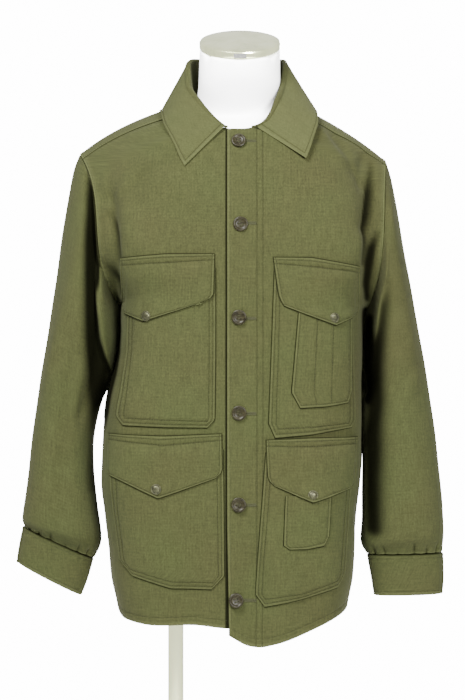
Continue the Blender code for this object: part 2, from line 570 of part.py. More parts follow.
# Body panels. The rows are closer together where the armhole and the neckline curve.
SIDE_STOP = 1 - share_at(SEAM_GAP)
YOKE_PARTING = 0.0022   # share of the rows that parts the back from the yoke
FORWARD_PARTING = 0.0012 # the same at the seams over the shoulders
FRONT_ROWS = np.concatenate([spaced(0, 0.55, 13), spaced(UNDERARM_ROW, NECK_ROW, 8)[:-1],
                             spaced(NECK_ROW, FORWARD_ROW - FORWARD_PARTING, 4)])
PANEL_COLUMNS = np.concatenate([spaced(0, 0.60, 6), spaced(0.675, SIDE_STOP, 7)])

us, vs = grid(PANEL_COLUMNS, FRONT_ROWS)
strip_rows = FRONT_ROWS[FRONT_ROWS <= NECK_ROW + 1e-9]
u_strip, v_strip = grid(spaced(0, share_at(BAND_LEFT) / BAND_SPEED, 2), strip_rows)
cloth("front_left", [skin(LEFT, "front", "front_left", us, vs),
                     skin(RIGHT, "front", "front_left", u_strip, v_strip)[:, ::-1]])
u_strip, v_strip = grid(spaced(0, share_at(BAND_RIGHT) / BAND_SPEED, 2), strip_rows)
cloth("front_right", [skin(RIGHT, "front", "front_right", us, vs, under_layer)[:, ::-1],
                      skin(LEFT, "front", "front_right", u_strip, v_strip, under_layer)])

BACK_ROWS = np.concatenate([spaced(0, 0.55, 10), spaced(UNDERARM_ROW, YOKE_ROW - YOKE_PARTING, 5)])
us, vs = grid(PANEL_COLUMNS, BACK_ROWS)
cloth("back", [skin(LEFT, "back", "back", us, vs)[:, ::-1], skin(RIGHT, "back", "back", us, vs)])

# The yoke runs over the shoulders to its seams with the fronts.
YOKE_ROWS = np.concatenate([spaced(YOKE_ROW, BACK_NECK_ROW, 4), spaced(0.92, 1, 4)])
OVER_ROWS = spaced(0.99, FORWARD_ROW + FORWARD_PARTING, 3)
us, vs = grid(PANEL_COLUMNS, YOKE_ROWS)
over_us, over_vs = grid(PANEL_COLUMNS, OVER_ROWS)
halves = [np.concatenate([skin(side, "back", "back", us, vs),
                          skin(side, "front", f"front_{word}", over_us, over_vs)])
          for side, word in ((LEFT, "left"), (RIGHT, "right"))]
cloth("yoke", [halves[0][:, ::-1], halves[1]])

# Sleeves and cuffs.
AROUND = 20
SLEEVE_SHARES = np.concatenate([[0.006], spaced(0.05, 0.90, 13), [0.945, 0.975, 1.0]])
for side, word in ((RIGHT, "right"), (LEFT, "left")):
    angles, shares = grid(np.arange(AROUND) * 360 / AROUND, SLEEVE_SHARES)
    cloth(f"sleeve_{word}", [sleeve_skin(side, shares, angles)], closed=True, flip=side == RIGHT)
    angles, shares = grid(np.arange(AROUND) * 360 / AROUND, [0.0, 0.5, 1.0])
    cloth(f"cuff_{word}", [ring(CUFF[side], shares, angles, side)], DOUBLE, closed=True,
          flip=side == RIGHT)


# Pockets and flaps. Their columns are closer together towards the side, where the body turns away.
ACROSS = (0, 0.17, 0.34, 0.5, 0.62, 0.73, 0.83, 0.92, 1)


def spread(rows, across, up):
    """Fill in a patch between its table rows: points in front view."""
    keys = np.linspace(0, 1, len(rows["xa"]))
    share, lift = grid(across, np.concatenate(
        [spaced(keys[i], keys[i + 1], up[i] + 1)[:-1] for i in range(len(up))] + [[1.0]]))
    row = {name: np.interp(lift, keys, column) for name, column in rows.items()}
    first, second = np.clip(share * 2, 0, 1), np.clip(share * 2 - 1, 0, 1)
    x = row["xa"] + (row["xm"] - row["xa"]) * first + (row["xb"] - row["xm"]) * second
    z = row["za"] + (row["zm"] - row["za"]) * first + (row["zb"] - row["zm"]) * second
    return x, z, share, lift


def outer_tree(*names):
    """Search tree of the outer surfaces of the named pieces."""
    bm = bmesh.new()
    for name in names:
        bm.from_mesh(bpy.data.objects[name].data)
    tree = BVHTree.FromBMesh(bm)
    bm.free()
    return tree


def lay(tree, rows, lift, under=False, limit=LAY_LIMIT):
    """Move a grid of points until it stands at least lift above the pieces of the tree, or lies at
    least lift below their outer surface, in the middle of its faces too."""
    rows = rows.copy()
    way = -1 if under else 1
    for _ in range(10):
        push = np.zeros_like(rows)
        for r in range(len(rows) - 1):
            for c in range(len(rows[0]) - 1):
                for a in LAY_SAMPLES:
                    for b in LAY_SAMPLES:
                        p = ((rows[r, c] * (1 - a) + rows[r, c + 1] * a) * (1 - b)
                             + (rows[r + 1, c] * (1 - a) + rows[r + 1, c + 1] * a) * b)
                        near, normal, _, _ = tree.find_nearest(Vector(p))
                        short = lift - way * (Vector(p) - near).dot(normal)
                        if short <= 0 or short > limit:
                            continue
                        move = np.array(normal) * way * (short + 0.0001)
                        for i, j in ((r, c), (r, c + 1), (r + 1, c), (r + 1, c + 1)):
                            if np.linalg.norm(push[i, j]) < np.linalg.norm(move):
                                push[i, j] = move
        if not push.any():
            break
        rows += push
    return rows


for name, (side, thickness, below, rows) in PATCHES.items():
    flap = "flap" in name
    small = name in ("pencil_pocket", "small_pocket")
    across = spaced(0, 1, 5) if small else ACROSS
    up = (2, 2) if flap else ((1, 3) if small else (1, 3, 3))
    x, z, share, rise = spread(table(PATCH_COLUMNS, rows), across, up)
    swell = 16 * share * (1 - share) * rise * (1 - 0.5 * rise)
    bulge = 0 if flap or small else POCKET_BULGE * np.clip(swell, 0, 1)
    points = on_front(side, x, z, LAY_GAP + thickness + bulge)
    points = lay(outer_tree(*below), points, PATCH_GAP + thickness)
    cloth(name, [points], thickness, flip=side == RIGHT, even=False)


# Collar: stand, fold and leaf in one wall. The leaf is laid on the fronts and the yoke.
NECK_SEAM = 0.0015       # parting between the neckline and the collar
COLLAR_BEND = 0.0045     # how round the collar's fold is


def collar_section(side, angle, steps):
    """Points of one cross-section: up the stand, over the fold, down the leaf."""
    rows = COLLAR[side]
    at = {name: curve(rows["angle"], column, angle) for name, column in rows.items()}
    base = neckline(side, np.array(180.0 - angle)) + np.array([0, 0, NECK_SEAM])
    fold = np.array([CENTRE_X + side * at["fold_x"], at["fold_y"], at["fold_z"]])
    edge = np.array([CENTRE_X + side * at["edge_x"], at["edge_y"], at["edge_z"]])
    away = edge - base
    away[2] = 0
    away /= np.linalg.norm(away)
    stand = [base + (fold - base) * t for t in (0.0, 0.5)]
    stand.append(fold - np.array([0, 0, COLLAR_BEND]))
    top = [fold + away * COLLAR_BEND * 0.45 - np.array([0, 0, 0.001]), fold + away * COLLAR_BEND * 1.5]
    leaf_top = fold + away * COLLAR_BEND * 2.1 - np.array([0, 0, COLLAR_BEND])
    leaf = [leaf_top + (edge - leaf_top) * t for t in np.linspace(0, 1, steps)]
    return np.array(stand + top + leaf)


tree = outer_tree("front_left", "front_right", "yoke")
LEAF_START = 6          # first point of a section that may touch the panels
stations = list(np.concatenate([spaced(166, 130, 5), spaced(115, 0, 7)]))
sections = []
for side, order in ((RIGHT, stations), (LEFT, stations[-2::-1])):
    for angle in order:
        sections.append(collar_section(side, angle, 5))
sections = np.array(sections)
sections[:, LEAF_START:] = lay(tree, sections[:, LEAF_START:], DOUBLE + LAY_GAP)
cloth("collar", [sections], DOUBLE, flip=True)


# ---- Fastenings ---------------------------------------------------------------------------------
def turned(name, profile, place, axis, finish, steps=12):
    """A turned piece: profile of (radius, height) from the top's middle down the outer side to the
    bottom's middle, with its axis along the given direction."""
    bm = bmesh.new()
    verts = [bm.verts.new((r, 0, h)) for r, h in profile]
    for a, b in zip(verts, verts[1:]):
        bm.edges.new((a, b))
    mesh = bpy.data.meshes.new(name)
    bm.to_mesh(mesh)
    bm.free()
    made = add_object(name, mesh, finish)
    screw = made.modifiers.new("turn", "SCREW")
    screw.steps = screw.render_steps = steps
    screw.use_merge_vertices = True
    screw.merge_threshold = 0.00002
    made.location = place
    made.rotation_euler = Vector(axis).to_track_quat("Z", "Y").to_euler()
    return made


def button(name, place, axis, radius, thick):
    """A flat button with a raised rim round its face."""
    rows = table("out high", [(0, 0.62), (0.62, 0.62), (0.80, 1), (0.94, 0.94), (1, 0.62), (0.92, 0.12),
                              (0.62, 0), (0, 0)])
    turned(name, list(zip(rows["out"] * radius, rows["high"] * thick)), place, axis, "button")


def seat(names, x, z):
    """The outermost point of the named pieces at (x, z) of the front view, and its normal."""
    point, normal, _, _ = outer_tree(*names).ray_cast(Vector((x, -1, z)), Vector((0, 1, 0)))
    return point, normal


for i, (x, z, tilt) in enumerate(zip(*BUTTONS.values())):
    point, normal = seat(["front_left"], x, z)
    lean = math.radians(tilt)
    axis = (normal + Vector((0, 0, math.tan(lean)))).normalized()
    lift = SEAM_GAP + BUTTON_SEAT * BUTTON_RADIUS * math.sin(lean)
    button(f"button_{i + 1}", point + normal * lift, axis, BUTTON_RADIUS, BUTTON_THICK)

for side, word in ((RIGHT, "right"), (LEFT, "left")):
    at = ring(CUFF[side], np.array(0.5), np.array(CUFF_BUTTON_ANGLE), side)
    point, normal, _, _ = outer_tree(f"cuff_{word}").find_nearest(Vector(at))
    button(f"cuff_button_{word}", point + normal * LAY_GAP, normal, CUFF_BUTTON_RADIUS,
           CUFF_BUTTON_THICK)

for name, (flap, x, z) in SNAPS.items():
    point, normal = seat([flap], x, z)
    rows = table("out high", [(0, 1), (0.45, 0.9), (0.80, 0.6), (1, 0.2), (0.96, 0), (0, 0)])
    turned(name, list(zip(rows["out"] * SNAP_RADIUS, rows["high"] * SNAP_THICK)),
           point + normal * SNAP_GAP, normal, "snap")


# ---- Dress form and stand -----------------------------------------------------------------------
FORM_AROUND, FORM_STEPS = 28, 24
levels = curve(np.linspace(0, 1, len(FORM["z"])), FORM["z"], spaced(0, 1, FORM_STEPS))
rings = []
for z in levels:
    row = {name: float(curve(FORM["z"], column, np.array(z))) for name, column in FORM.items()}
    angle = np.radians(np.arange(FORM_AROUND) * 360 / FORM_AROUND)
    middle, half = (row["front"] + row["back"]) / 2, (row["back"] - row["front"]) / 2
    sine, cosine = np.sin(angle), np.cos(angle)
    x = row["x"] + row["wide"] * np.sign(cosine) * np.abs(cosine) ** (2 / FORM_SQUARE)
    y = middle + half * np.sign(sine) * np.abs(sine) ** (2 / FORM_SQUARE)
    lean = fade((z - TILT_START) / TILT_RISE) * math.tan(NECK_TILT)
    rings.append(np.stack([x, y, z + lean * (y - middle)], axis=1))
rings = np.array(rings)
rings = np.concatenate([rings, rings[:, :1]], axis=1)
shoulders = int(np.argmax(levels > FORM_SHOULDER_TOP)) + 1
cover = outer_tree("front_left", "front_right", "back", "yoke", "sleeve_left", "sleeve_right")
rings[:shoulders] = lay(cover, rings[:shoulders], CLOTH + FORM_CLEAR, True, FORM_GIVE)
rings[:, -1] = rings[:, 0]
form_mesh = sheet_mesh("form_torso", [rings])
bm = bmesh.new()
bm.from_mesh(form_mesh)
bmesh.ops.holes_fill(bm, edges=[e for e in bm.edges if e.is_boundary])
bmesh.ops.recalc_face_normals(bm, faces=bm.faces)
bm.to_mesh(form_mesh)
bm.free()
add_object("form_torso", form_mesh, "form")

lean_axis = Vector((0, -math.sin(NECK_TILT), math.cos(NECK_TILT)))
cap_seat = Vector(rings[-1][:-1].mean(axis=0)) + lean_axis * LAY_GAP
rows = table("out high", [(0, 1), (0.86, 1), (1, 0.72), (1, 0.1), (0.97, 0), (0, 0)])
turned("form_neck_cap", list(zip(rows["out"] * CAP_RADIUS, rows["high"] * CAP_THICK)), cap_seat,
       lean_axis, "chrome", 28)

pole_bottom, pole_top = BASE_THICK + POLE_GAP, FORM_BOTTOM - POLE_GAP
bm = bmesh.new()
bmesh.ops.create_cone(bm, cap_ends=True, segments=24, radius1=POLE_RADIUS, radius2=POLE_RADIUS,
                      depth=pole_top - pole_bottom)
pole_mesh = bpy.data.meshes.new("form_pole")
bm.to_mesh(pole_mesh)
bm.free()
pole = add_object("form_pole", pole_mesh, "chrome")
pole.location = (POLE_X, 0, (pole_top + pole_bottom) / 2)

turned("form_base", [(0, BASE_THICK), (BASE_RADIUS - BASE_EDGE, BASE_THICK),
                     (BASE_RADIUS, BASE_THICK - BASE_EDGE), (BASE_RADIUS, 0), (0, 0)],
       (POLE_X, 0, 0), (0, 0, 1), "chrome", 40)
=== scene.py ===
"""Wool mackinaw jacket on a limbless dress form: the looks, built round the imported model.

Metres, +Z up, floor at z = 0. The jacket's front faces -Y, the wearer's left is at +X. Every piece of
cloth is a grid laid on the same surfaces as its solid, with its seams, creases and stitching worked in.
"""
import math

import bpy
import numpy as np
from mathutils import Matrix, Vector
from mathutils.bvhtree import BVHTree


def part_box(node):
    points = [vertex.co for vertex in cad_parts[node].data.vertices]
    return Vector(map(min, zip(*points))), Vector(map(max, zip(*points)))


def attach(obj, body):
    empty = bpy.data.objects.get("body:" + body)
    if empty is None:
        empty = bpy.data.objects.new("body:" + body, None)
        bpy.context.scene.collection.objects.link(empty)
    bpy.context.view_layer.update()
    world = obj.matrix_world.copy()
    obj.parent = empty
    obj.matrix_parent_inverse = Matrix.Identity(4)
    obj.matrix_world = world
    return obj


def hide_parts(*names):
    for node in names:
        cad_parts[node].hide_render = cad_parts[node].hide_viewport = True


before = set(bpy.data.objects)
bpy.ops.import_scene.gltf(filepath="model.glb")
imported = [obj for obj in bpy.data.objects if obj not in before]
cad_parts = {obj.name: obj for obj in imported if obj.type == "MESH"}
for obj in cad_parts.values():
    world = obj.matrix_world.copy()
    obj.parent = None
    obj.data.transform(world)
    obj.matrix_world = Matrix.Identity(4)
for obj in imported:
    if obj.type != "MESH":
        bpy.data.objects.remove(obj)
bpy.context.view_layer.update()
bpy.ops.object.select_all(action="DESELECT")


# ---- Studio -------------------------------------------------------------------------------------
# A pale floor, a white room that fills the shadows a little, and three soft lamps: one high in front on
# the viewer's left, a lower one on the right and one behind the jacket. The camera stands 3.2 m away
# at chest height and looks level at the middle of the front.
CAMERA_AWAY = 3.2
CAMERA_HEIGHT = 1.0525
VIEW_TALL = 1.05            # height of the view at the jacket, over 700 pixels
PLATE_TALL = 24.0           # camera plate, in millimetres
FLOOR_RADIUS = 2.6

lens = bpy.data.cameras.new("studio_camera")
lens.sensor_width = PLATE_TALL
lens.lens = PLATE_TALL * CAMERA_AWAY / VIEW_TALL
camera = bpy.data.objects.new("studio_camera", lens)
camera.location = (0, -CAMERA_AWAY, CAMERA_HEIGHT)
camera.rotation_euler = (math.radians(90), 0, 0)
bpy.context.scene.collection.objects.link(camera)
bpy.context.scene.camera = camera

ROOM_LIGHT = 1.45           # how bright the white room is
BACKDROP_LIGHT = 15.0       # the backdrop behind the jacket is lit on its own, to a plain white

room = bpy.data.worlds.new("white_room")
room.use_nodes = True
walls = room.node_tree.nodes["Background"]
walls.inputs["Color"].default_value = (1, 1, 1, 1)
walls.inputs["Strength"].default_value = ROOM_LIGHT
backdrop = room.node_tree.nodes.new("ShaderNodeBackground")
backdrop.inputs["Color"].default_value = (1, 1, 1, 1)
backdrop.inputs["Strength"].default_value = BACKDROP_LIGHT
seen = room.node_tree.nodes.new("ShaderNodeLightPath")
either = room.node_tree.nodes.new("ShaderNodeMixShader")
room.node_tree.links.new(seen.outputs["Is Camera Ray"], either.inputs[0])
room.node_tree.links.new(walls.outputs[0], either.inputs[1])
room.node_tree.links.new(backdrop.outputs[0], either.inputs[2])
room.node_tree.links.new(either.outputs[0], room.node_tree.nodes["World Output"].inputs["Surface"])
bpy.context.scene.world = room


def softbox(name, place, aim, size, power):
    """A square lamp with its own soft shadow, turned to a point."""
    lamp = bpy.data.lights.new(name, "AREA")
    lamp.size = size
    lamp.energy = power
    made = bpy.data.objects.new(name, lamp)
    made.location = place
    made.rotation_euler = (Vector(aim) - Vector(place)).to_track_quat("-Z", "Y").to_euler()
    bpy.context.scene.collection.objects.link(made)


softbox("key_softbox", (-1.1, -2.1, 3.3), (0, 0, 1.05), 1.0, 660)
softbox("second_softbox", (1.2, -2.9, 1.9), (0, 0, 1.0), 1.0, 470)
softbox("rear_softbox", (0.3, 2.9, 1.6), (0, 0, 1.0), 1.4, 260)

floor_paint = bpy.data.materials.new("pale_floor")
floor_paint.use_nodes = True
floor_paint.node_tree.nodes["Principled BSDF"].inputs["Base Color"].default_value = (0.82, 0.82, 0.80, 1)
floor_paint.node_tree.nodes["Principled BSDF"].inputs["Roughness"].default_value = 0.7
bpy.ops.mesh.primitive_circle_add(vertices=96, radius=FLOOR_RADIUS, fill_type="NGON")
floor = bpy.context.object
floor.name = "studio_floor"
floor.data.materials.append(floor_paint)


# ---- Dress form and its stand -------------------------------------------------------------------
# A hollow moulded torso with no arms or head, painted matt white, on a chromed tube and a flat
# round base plate. A polished metal cap closes the neck, with a small blank plate at its front.
def bare(name):
    """A new material's shader, and a function that adds a node to it."""
    made = bpy.data.materials.new(name)
    made.use_nodes = True
    tree = made.node_tree

    def node(kind, **settings):
        added = tree.nodes.new(kind)
        for key, value in settings.items():
            if key.startswith("in_"):
                socket = added.inputs[int(key[3:])]
                if isinstance(value, bpy.types.NodeSocket):
                    tree.links.new(value, socket)
                else:
                    socket.default_value = value
            else:
                setattr(added, key, value)
        return added

    return made, tree.nodes["Principled BSDF"], node, tree.links


def ramp(node, factor, stops):
    """A colour ramp through (place, colour) stops."""
    made = node("ShaderNodeValToRGB", in_0=factor)
    band = made.color_ramp
    band.elements[0].position, band.elements[0].color = stops[0]
    band.elements[1].position, band.elements[1].color = stops[-1]
    for place, colour in stops[1:-1]:
        band.elements.new(place).color = colour
    return made.outputs[0]


def mottled(name, grain, colours, rough, stretch=None, relief=None, metal=0.0, specular=0.5):
    """A finish that wanders between colours. grain is the scale, detail and swirl of its noise, colours
    are stops along it, rough is one number or stops of grey, and relief is the scale, detail, strength
    and depth of fine dents."""
    made, shader, node, links = bare(name)
    where = node("ShaderNodeTexCoord").outputs["Object"]
    drawn = node("ShaderNodeMapping", in_0=where, in_3=stretch).outputs[0] if stretch else where
    cloud = node("ShaderNodeTexNoise", in_0=drawn, in_2=grain[0], in_3=grain[1], in_8=grain[2]).outputs[0]
    links.new(ramp(node, cloud, colours), shader.inputs["Base Color"])
    if isinstance(rough, float):
        shader.inputs["Roughness"].default_value = rough
    else:
        stops = [(place, (grey, grey, grey, 1)) for place, grey in rough]
        links.new(ramp(node, cloud, stops), shader.inputs["Roughness"])
    if relief:
        dents = node("ShaderNodeTexNoise", in_0=where, in_2=relief[0], in_3=relief[1]).outputs[0]
        bump = node("ShaderNodeBump", in_0=relief[2], in_1=relief[3])
        links.new(dents, bump.inputs["Height"])
        links.new(bump.outputs[0], shader.inputs["Normal"])
    shader.inputs["Metallic"].default_value = metal
    shader.inputs["Specular IOR Level"].default_value = specular
    return made


FORM_WHITE = (0.92, 0.92, 0.915, 1)
FORM_SHADE = (0.88, 0.88, 0.87, 1)
form_paint = mottled("form_paint", (6.0, 3.0, 0), [(0.35, FORM_SHADE), (0.65, FORM_WHITE)], 0.5,
                     relief=(900.0, 2.0, 0.12, 0.0003))
CHROME = (0.88, 0.92, 0.56, 1)
CHROME_WORN = (0.68, 0.72, 0.42, 1)
chrome = mottled("polished_chrome", (1.0, 4.0, 0), [(0.30, CHROME_WORN), (0.60, CHROME)],
                 [(0.30, 0.26), (0.70, 0.10)], stretch=(40.0, 40.0, 3.0), metal=1.0)
BLANK_DARK = (0.050, 0.052, 0.050, 1)
BLANK_RUBBED = (0.11, 0.11, 0.10, 1)
plate_dark = mottled("blank_plate", (300.0, 3.0, 0), [(0.3, BLANK_DARK), (0.7, BLANK_RUBBED)], 0.4)


def finished(made, name, paint):
    """Name a piece, give it its finish and hang it on the model."""
    made.name = name
    made.data.name = name
    made.data.materials.clear()
    made.data.materials.append(paint)
    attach(made, "root")
    return made


def turned(rows, corners):
    """A round piece drawn up from a circle: rows of (radius, height) from the bottom's rim to the top's
    rim, by extruding and resizing ring after ring. Its axis is z and its foot is at the origin."""
    bpy.ops.object.select_all(action="DESELECT")
    radius, height = rows[0]
    bpy.ops.mesh.primitive_circle_add(vertices=corners, radius=radius, location=(0, 0, 0), fill_type="NGON")
    made = bpy.context.object
    bpy.ops.object.mode_set(mode="EDIT")
    bpy.ops.mesh.select_all(action="SELECT")
    bpy.ops.transform.translate(value=(0, 0, height))
    for wide, high in rows[1:]:
        bpy.ops.mesh.extrude_region_move(TRANSFORM_OT_translate={"value": (0, 0, high - height)})
        share = wide / radius
        bpy.ops.transform.resize(value=(share, share, 1), center_override=(0, 0, high))
        radius, height = wide, high
    bpy.ops.mesh.select_all(action="SELECT")
    bpy.ops.mesh.normals_make_consistent(inside=False)
    bpy.ops.object.mode_set(mode="OBJECT")
    return made


def stand_on(made, foot, axis):
    """Put a turned piece's foot and axis in place, in its mesh."""
    turn = Vector(axis).to_track_quat("Z", "Y").to_matrix().to_4x4()
    made.data.transform(Matrix.Translation(Vector(foot)) @ turn)


def disc_of(name, facing):
    """Middle, axis, foot, radius and thickness of a round solid, from its own points; its axis looks
    the facing way."""
    points = np.array([v.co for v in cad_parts[name].data.vertices])
    points = np.unique(points.round(6), axis=0)
    middle = points.mean(axis=0)
    axis = np.linalg.svd(points - middle)[2][-1]
    axis = axis if axis @ facing > 0 else -axis
    along = (points - middle) @ axis
    radius = np.linalg.norm(points - middle - along[:, None] * axis, axis=1).max()
    return middle, axis, middle + axis * along.min(), radius, along.max() - along.min()


def pick(*pieces):
    """Select these pieces alone, the first one active."""
    bpy.ops.object.select_all(action="DESELECT")
    for piece in pieces:
        piece.select_set(True)
    bpy.context.view_layer.objects.active = pieces[0]


def smooth(made, angle=40):
    """Shade a piece smooth, but for edges sharper than the angle."""
    pick(made)
    bpy.ops.object.shade_smooth_by_angle(angle=math.radians(angle))


def apply_all(made):
    """Apply a piece's modifiers, first to last."""
    pick(made)
    for modifier in list(made.modifiers):
        bpy.ops.object.modifier_apply(modifier=modifier.name)


def moulded(name, levels):
    """A smooth copy of one of the model's solids, its loose triangles joined first."""
    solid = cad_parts[name]
    made = bpy.data.objects.new(name + "_shell", solid.data.copy())
    bpy.context.scene.collection.objects.link(made)
    pick(made)
    bpy.ops.object.mode_set(mode="EDIT")
    bpy.ops.mesh.select_all(action="SELECT")
    bpy.ops.mesh.remove_doubles(threshold=0.00005)
    bpy.ops.mesh.tris_convert_to_quads()
    bpy.ops.object.mode_set(mode="OBJECT")
    rounding = made.modifiers.new("rounding", "SUBSURF")
    rounding.levels = rounding.render_levels = levels
    apply_all(made)
    return made


torso = moulded("form_torso", 2)
smooth(torso, 60)
finished(torso, "dress_form", form_paint)
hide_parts("form_torso")

POLE_RADIUS = 0.0115
POLE_BEVEL = 0.0006
pole_low, pole_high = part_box("form_pole")
pole_x = (pole_low[0] + pole_high[0]) / 2
pole_y = (pole_low[1] + pole_high[1]) / 2
pole_long = pole_high[2] - pole_low[2]
pole = turned([(POLE_RADIUS - POLE_BEVEL, 0), (POLE_RADIUS, POLE_BEVEL),
               (POLE_RADIUS, pole_long - POLE_BEVEL), (POLE_RADIUS - POLE_BEVEL, pole_long)], 64)
stand_on(pole, (pole_x, pole_y, pole_low[2]), (0, 0, 1))
smooth(pole)
finished(pole, "stand_pole", chrome)
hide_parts("form_pole")

base_low, base_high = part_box("form_base")
BASE_RADIUS = (base_high[1] - base_low[1]) / 2
BASE_THICK = base_high[2] - base_low[2]
SOCKET_RADIUS = 0.0190      # raised ring that grips the pole
SOCKET_HOLE = POLE_RADIUS + 0.0004
base = turned([(BASE_RADIUS - 0.0010, 0), (BASE_RADIUS, 0.0010), (BASE_RADIUS, BASE_THICK - 0.0022),
               (BASE_RADIUS - 0.0008, BASE_THICK - 0.0008), (BASE_RADIUS - 0.0026, BASE_THICK - 0.0001),
               (SOCKET_RADIUS + 0.004, BASE_THICK), (SOCKET_RADIUS, BASE_THICK + 0.0012),
               (SOCKET_RADIUS - 0.001, BASE_THICK + 0.0060), (SOCKET_RADIUS - 0.003, BASE_THICK + 0.0072),
               (SOCKET_HOLE, BASE_THICK + 0.0072), (SOCKET_HOLE, BASE_THICK)], 128)
stand_on(base, (pole_x, pole_y, base_low[2]), (0, 0, 1))
smooth(base)
finished(base, "stand_base", chrome)
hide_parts("form_base")

CAP_RADIUS = 0.0600
CAP_THICK = 0.0110
_, axis, foot, _, _ = disc_of("form_neck_cap", (0, 0, 1))
cap = turned([(CAP_RADIUS - 0.0016, 0), (CAP_RADIUS, 0.0010), (CAP_RADIUS, CAP_THICK - 0.0030),
              (CAP_RADIUS - 0.0012, CAP_THICK - 0.0010), (CAP_RADIUS - 0.0040, CAP_THICK - 0.0001),
              (CAP_RADIUS - 0.0180, CAP_THICK), (CAP_RADIUS - 0.0300, CAP_THICK + 0.0004),
              (0.004, CAP_THICK + 0.0006)], 128)
stand_on(cap, foot, axis)
smooth(cap)
finished(cap, "neck_cap", chrome)
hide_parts("form_neck_cap")

PLATE_HALF = 0.0092         # half of the small plate's width, along the cap's side
PLATE_MIDDLE, PLATE_TALL_HALF = CAP_THICK * 0.45, CAP_THICK * 0.34
bpy.ops.object.select_all(action="DESELECT")
bpy.ops.mesh.primitive_grid_add(x_subdivisions=12, y_subdivisions=4)
blank = bpy.context.object
corners = np.zeros((len(blank.data.vertices), 3))
blank.data.vertices.foreach_get("co", corners.reshape(-1))
turn = corners[:, 0] * PLATE_HALF / CAP_RADIUS
corners = np.stack([np.sin(turn) * CAP_RADIUS, -np.cos(turn) * CAP_RADIUS,
                    PLATE_MIDDLE + corners[:, 1] * PLATE_TALL_HALF], axis=1)
blank.data.vertices.foreach_set("co", corners.reshape(-1))
wall = blank.modifiers.new("plate", "SOLIDIFY")
wall.thickness = 0.0005
wall.offset = 1
apply_all(blank)
tilt = math.atan2(-axis[1], axis[2])
blank.data.transform(Matrix.Translation(Vector(foot)) @ Matrix.Rotation(tilt, 4, "X"))
finished(blank, "neck_cap_plate", plate_dark)


# ---- Fronts -------------------------------------------------------------------------------------
# Left and right front, each cut in one with its button band, of olive wool whipcord. The left one
# buttons over the right. Edges and hem are turned in and topstitched, seams are felled and stitched
# twice. Rows of the tables are the same as the solids' rows, so the shells lie on them.
CLOTH = 0.0018          # one layer's thickness
LAY_GAP = 0.0006        # between a piece and the one that it lies on
CENTRE_X = 0.0105       # the button line
HEM_LEVEL = 0.655       # level that the rows of a panel start from
UNDERARM_LEVEL = 1.12
UNDERARM_ROW = 0.60     # share of a panel's rows that lies below the underarm
NECK_ROW = 0.88         # share of the rows where the neckline starts
FORWARD_ROW = 0.965     # share of a front's rows where it meets the yoke, forward of the shoulder
TAIL_ROW = 0.30         # share of the rows over which the curved hem fades out
PANEL_TALL = 0.775      # a panel's height over all its rows
BAND_LEFT = 0.0185      # how far the top front runs past the button line
BAND_RIGHT = 0.020      # how far the front underneath runs past it
RIGHT, LEFT = -1, 1     # the wearer's sides, as the sign of x
WORDS = {RIGHT: "right", LEFT: "left"}


def table(columns, rows):
    """Named columns of a short table, as arrays."""
    return dict(zip(columns.split(), np.array(rows, float).T))


PANEL_ROW = "share z y round leave arrive turn dip"
FRONT = table(PANEL_ROW, [
    (0.00, 0.655, -0.1395, 270, 0.72, 0.62, 90, 0),
    (0.20, 0.805, -0.1425, 270, 0.72, 0.62, 90, 0),
    (0.40, 0.965, -0.1425, 270, 0.72, 0.62, 90, 0),
    (0.60, 1.120, -0.1440, 270, 0.72, 0.60, 84, 0),
    (0.70, 1.205, -0.1445, 208, 0.70, 0.45, 62, 0),
    (0.80, 1.295, -0.1360, 168, 0.60, 0.36, 42, 8),
    (0.88, 1.374, -0.1080, 142, 0.40, 0.34, 28, 24),
    (0.94, 1.395, -0.0900, 122, 0.33, 0.32, 16, 36),
    (1.00, 1.420, -0.0250, 105, 0.33, 0.28, 4, 44)])
BACK = table(PANEL_ROW, [
    (0.00, 0.655, 0.1330, -90, 0.66, 0.62, 90, 0),
    (0.20, 0.805, 0.1330, -90, 0.66, 0.62, 90, 0),
    (0.40, 0.965, 0.1300, -90, 0.66, 0.62, 90, 0),
    (0.60, 1.120, 0.1380, -90, 0.66, 0.60, 84, 0),
    (0.70, 1.214, 0.1400, -26, 0.64, 0.45, 60, 0),
    (0.80, 1.312, 0.1290, 30, 0.58, 0.36, 40, 10),
    (0.90, 1.438, 0.0640, 58, 0.36, 0.34, 26, 26),
    (0.95, 1.432, 0.0300, 82, 0.33, 0.32, 12, 38),
    (1.00, 1.420, -0.0250, 105, 0.33, 0.28, 4, 44)])
BACK_NECK_ROW = 0.90
PANELS = {"front": FRONT, "back": BACK}

# Side seams from the hem to the underarm (x is the distance from the middle).
SIDE_SEAM = {
    RIGHT: table("z x", [(0.655, 0.172), (0.70, 0.182), (0.75, 0.1855), (0.80, 0.190), (0.86, 0.196),
                         (0.93, 0.1935), (0.97, 0.1900), (1.01, 0.1825), (1.05, 0.1730), (1.09, 0.1680),
                         (1.12, 0.168)]),
    LEFT: table("z x", [(0.655, 0.172), (0.70, 0.180), (0.75, 0.182), (0.80, 0.185), (0.86, 0.1915),
                        (0.90, 0.194), (0.95, 0.194), (1.00, 0.193), (1.05, 0.1945), (1.09, 0.197),
                        (1.113, 0.200)]),
}
SIDE_Y = 0.004          # depth at which the side seams lie

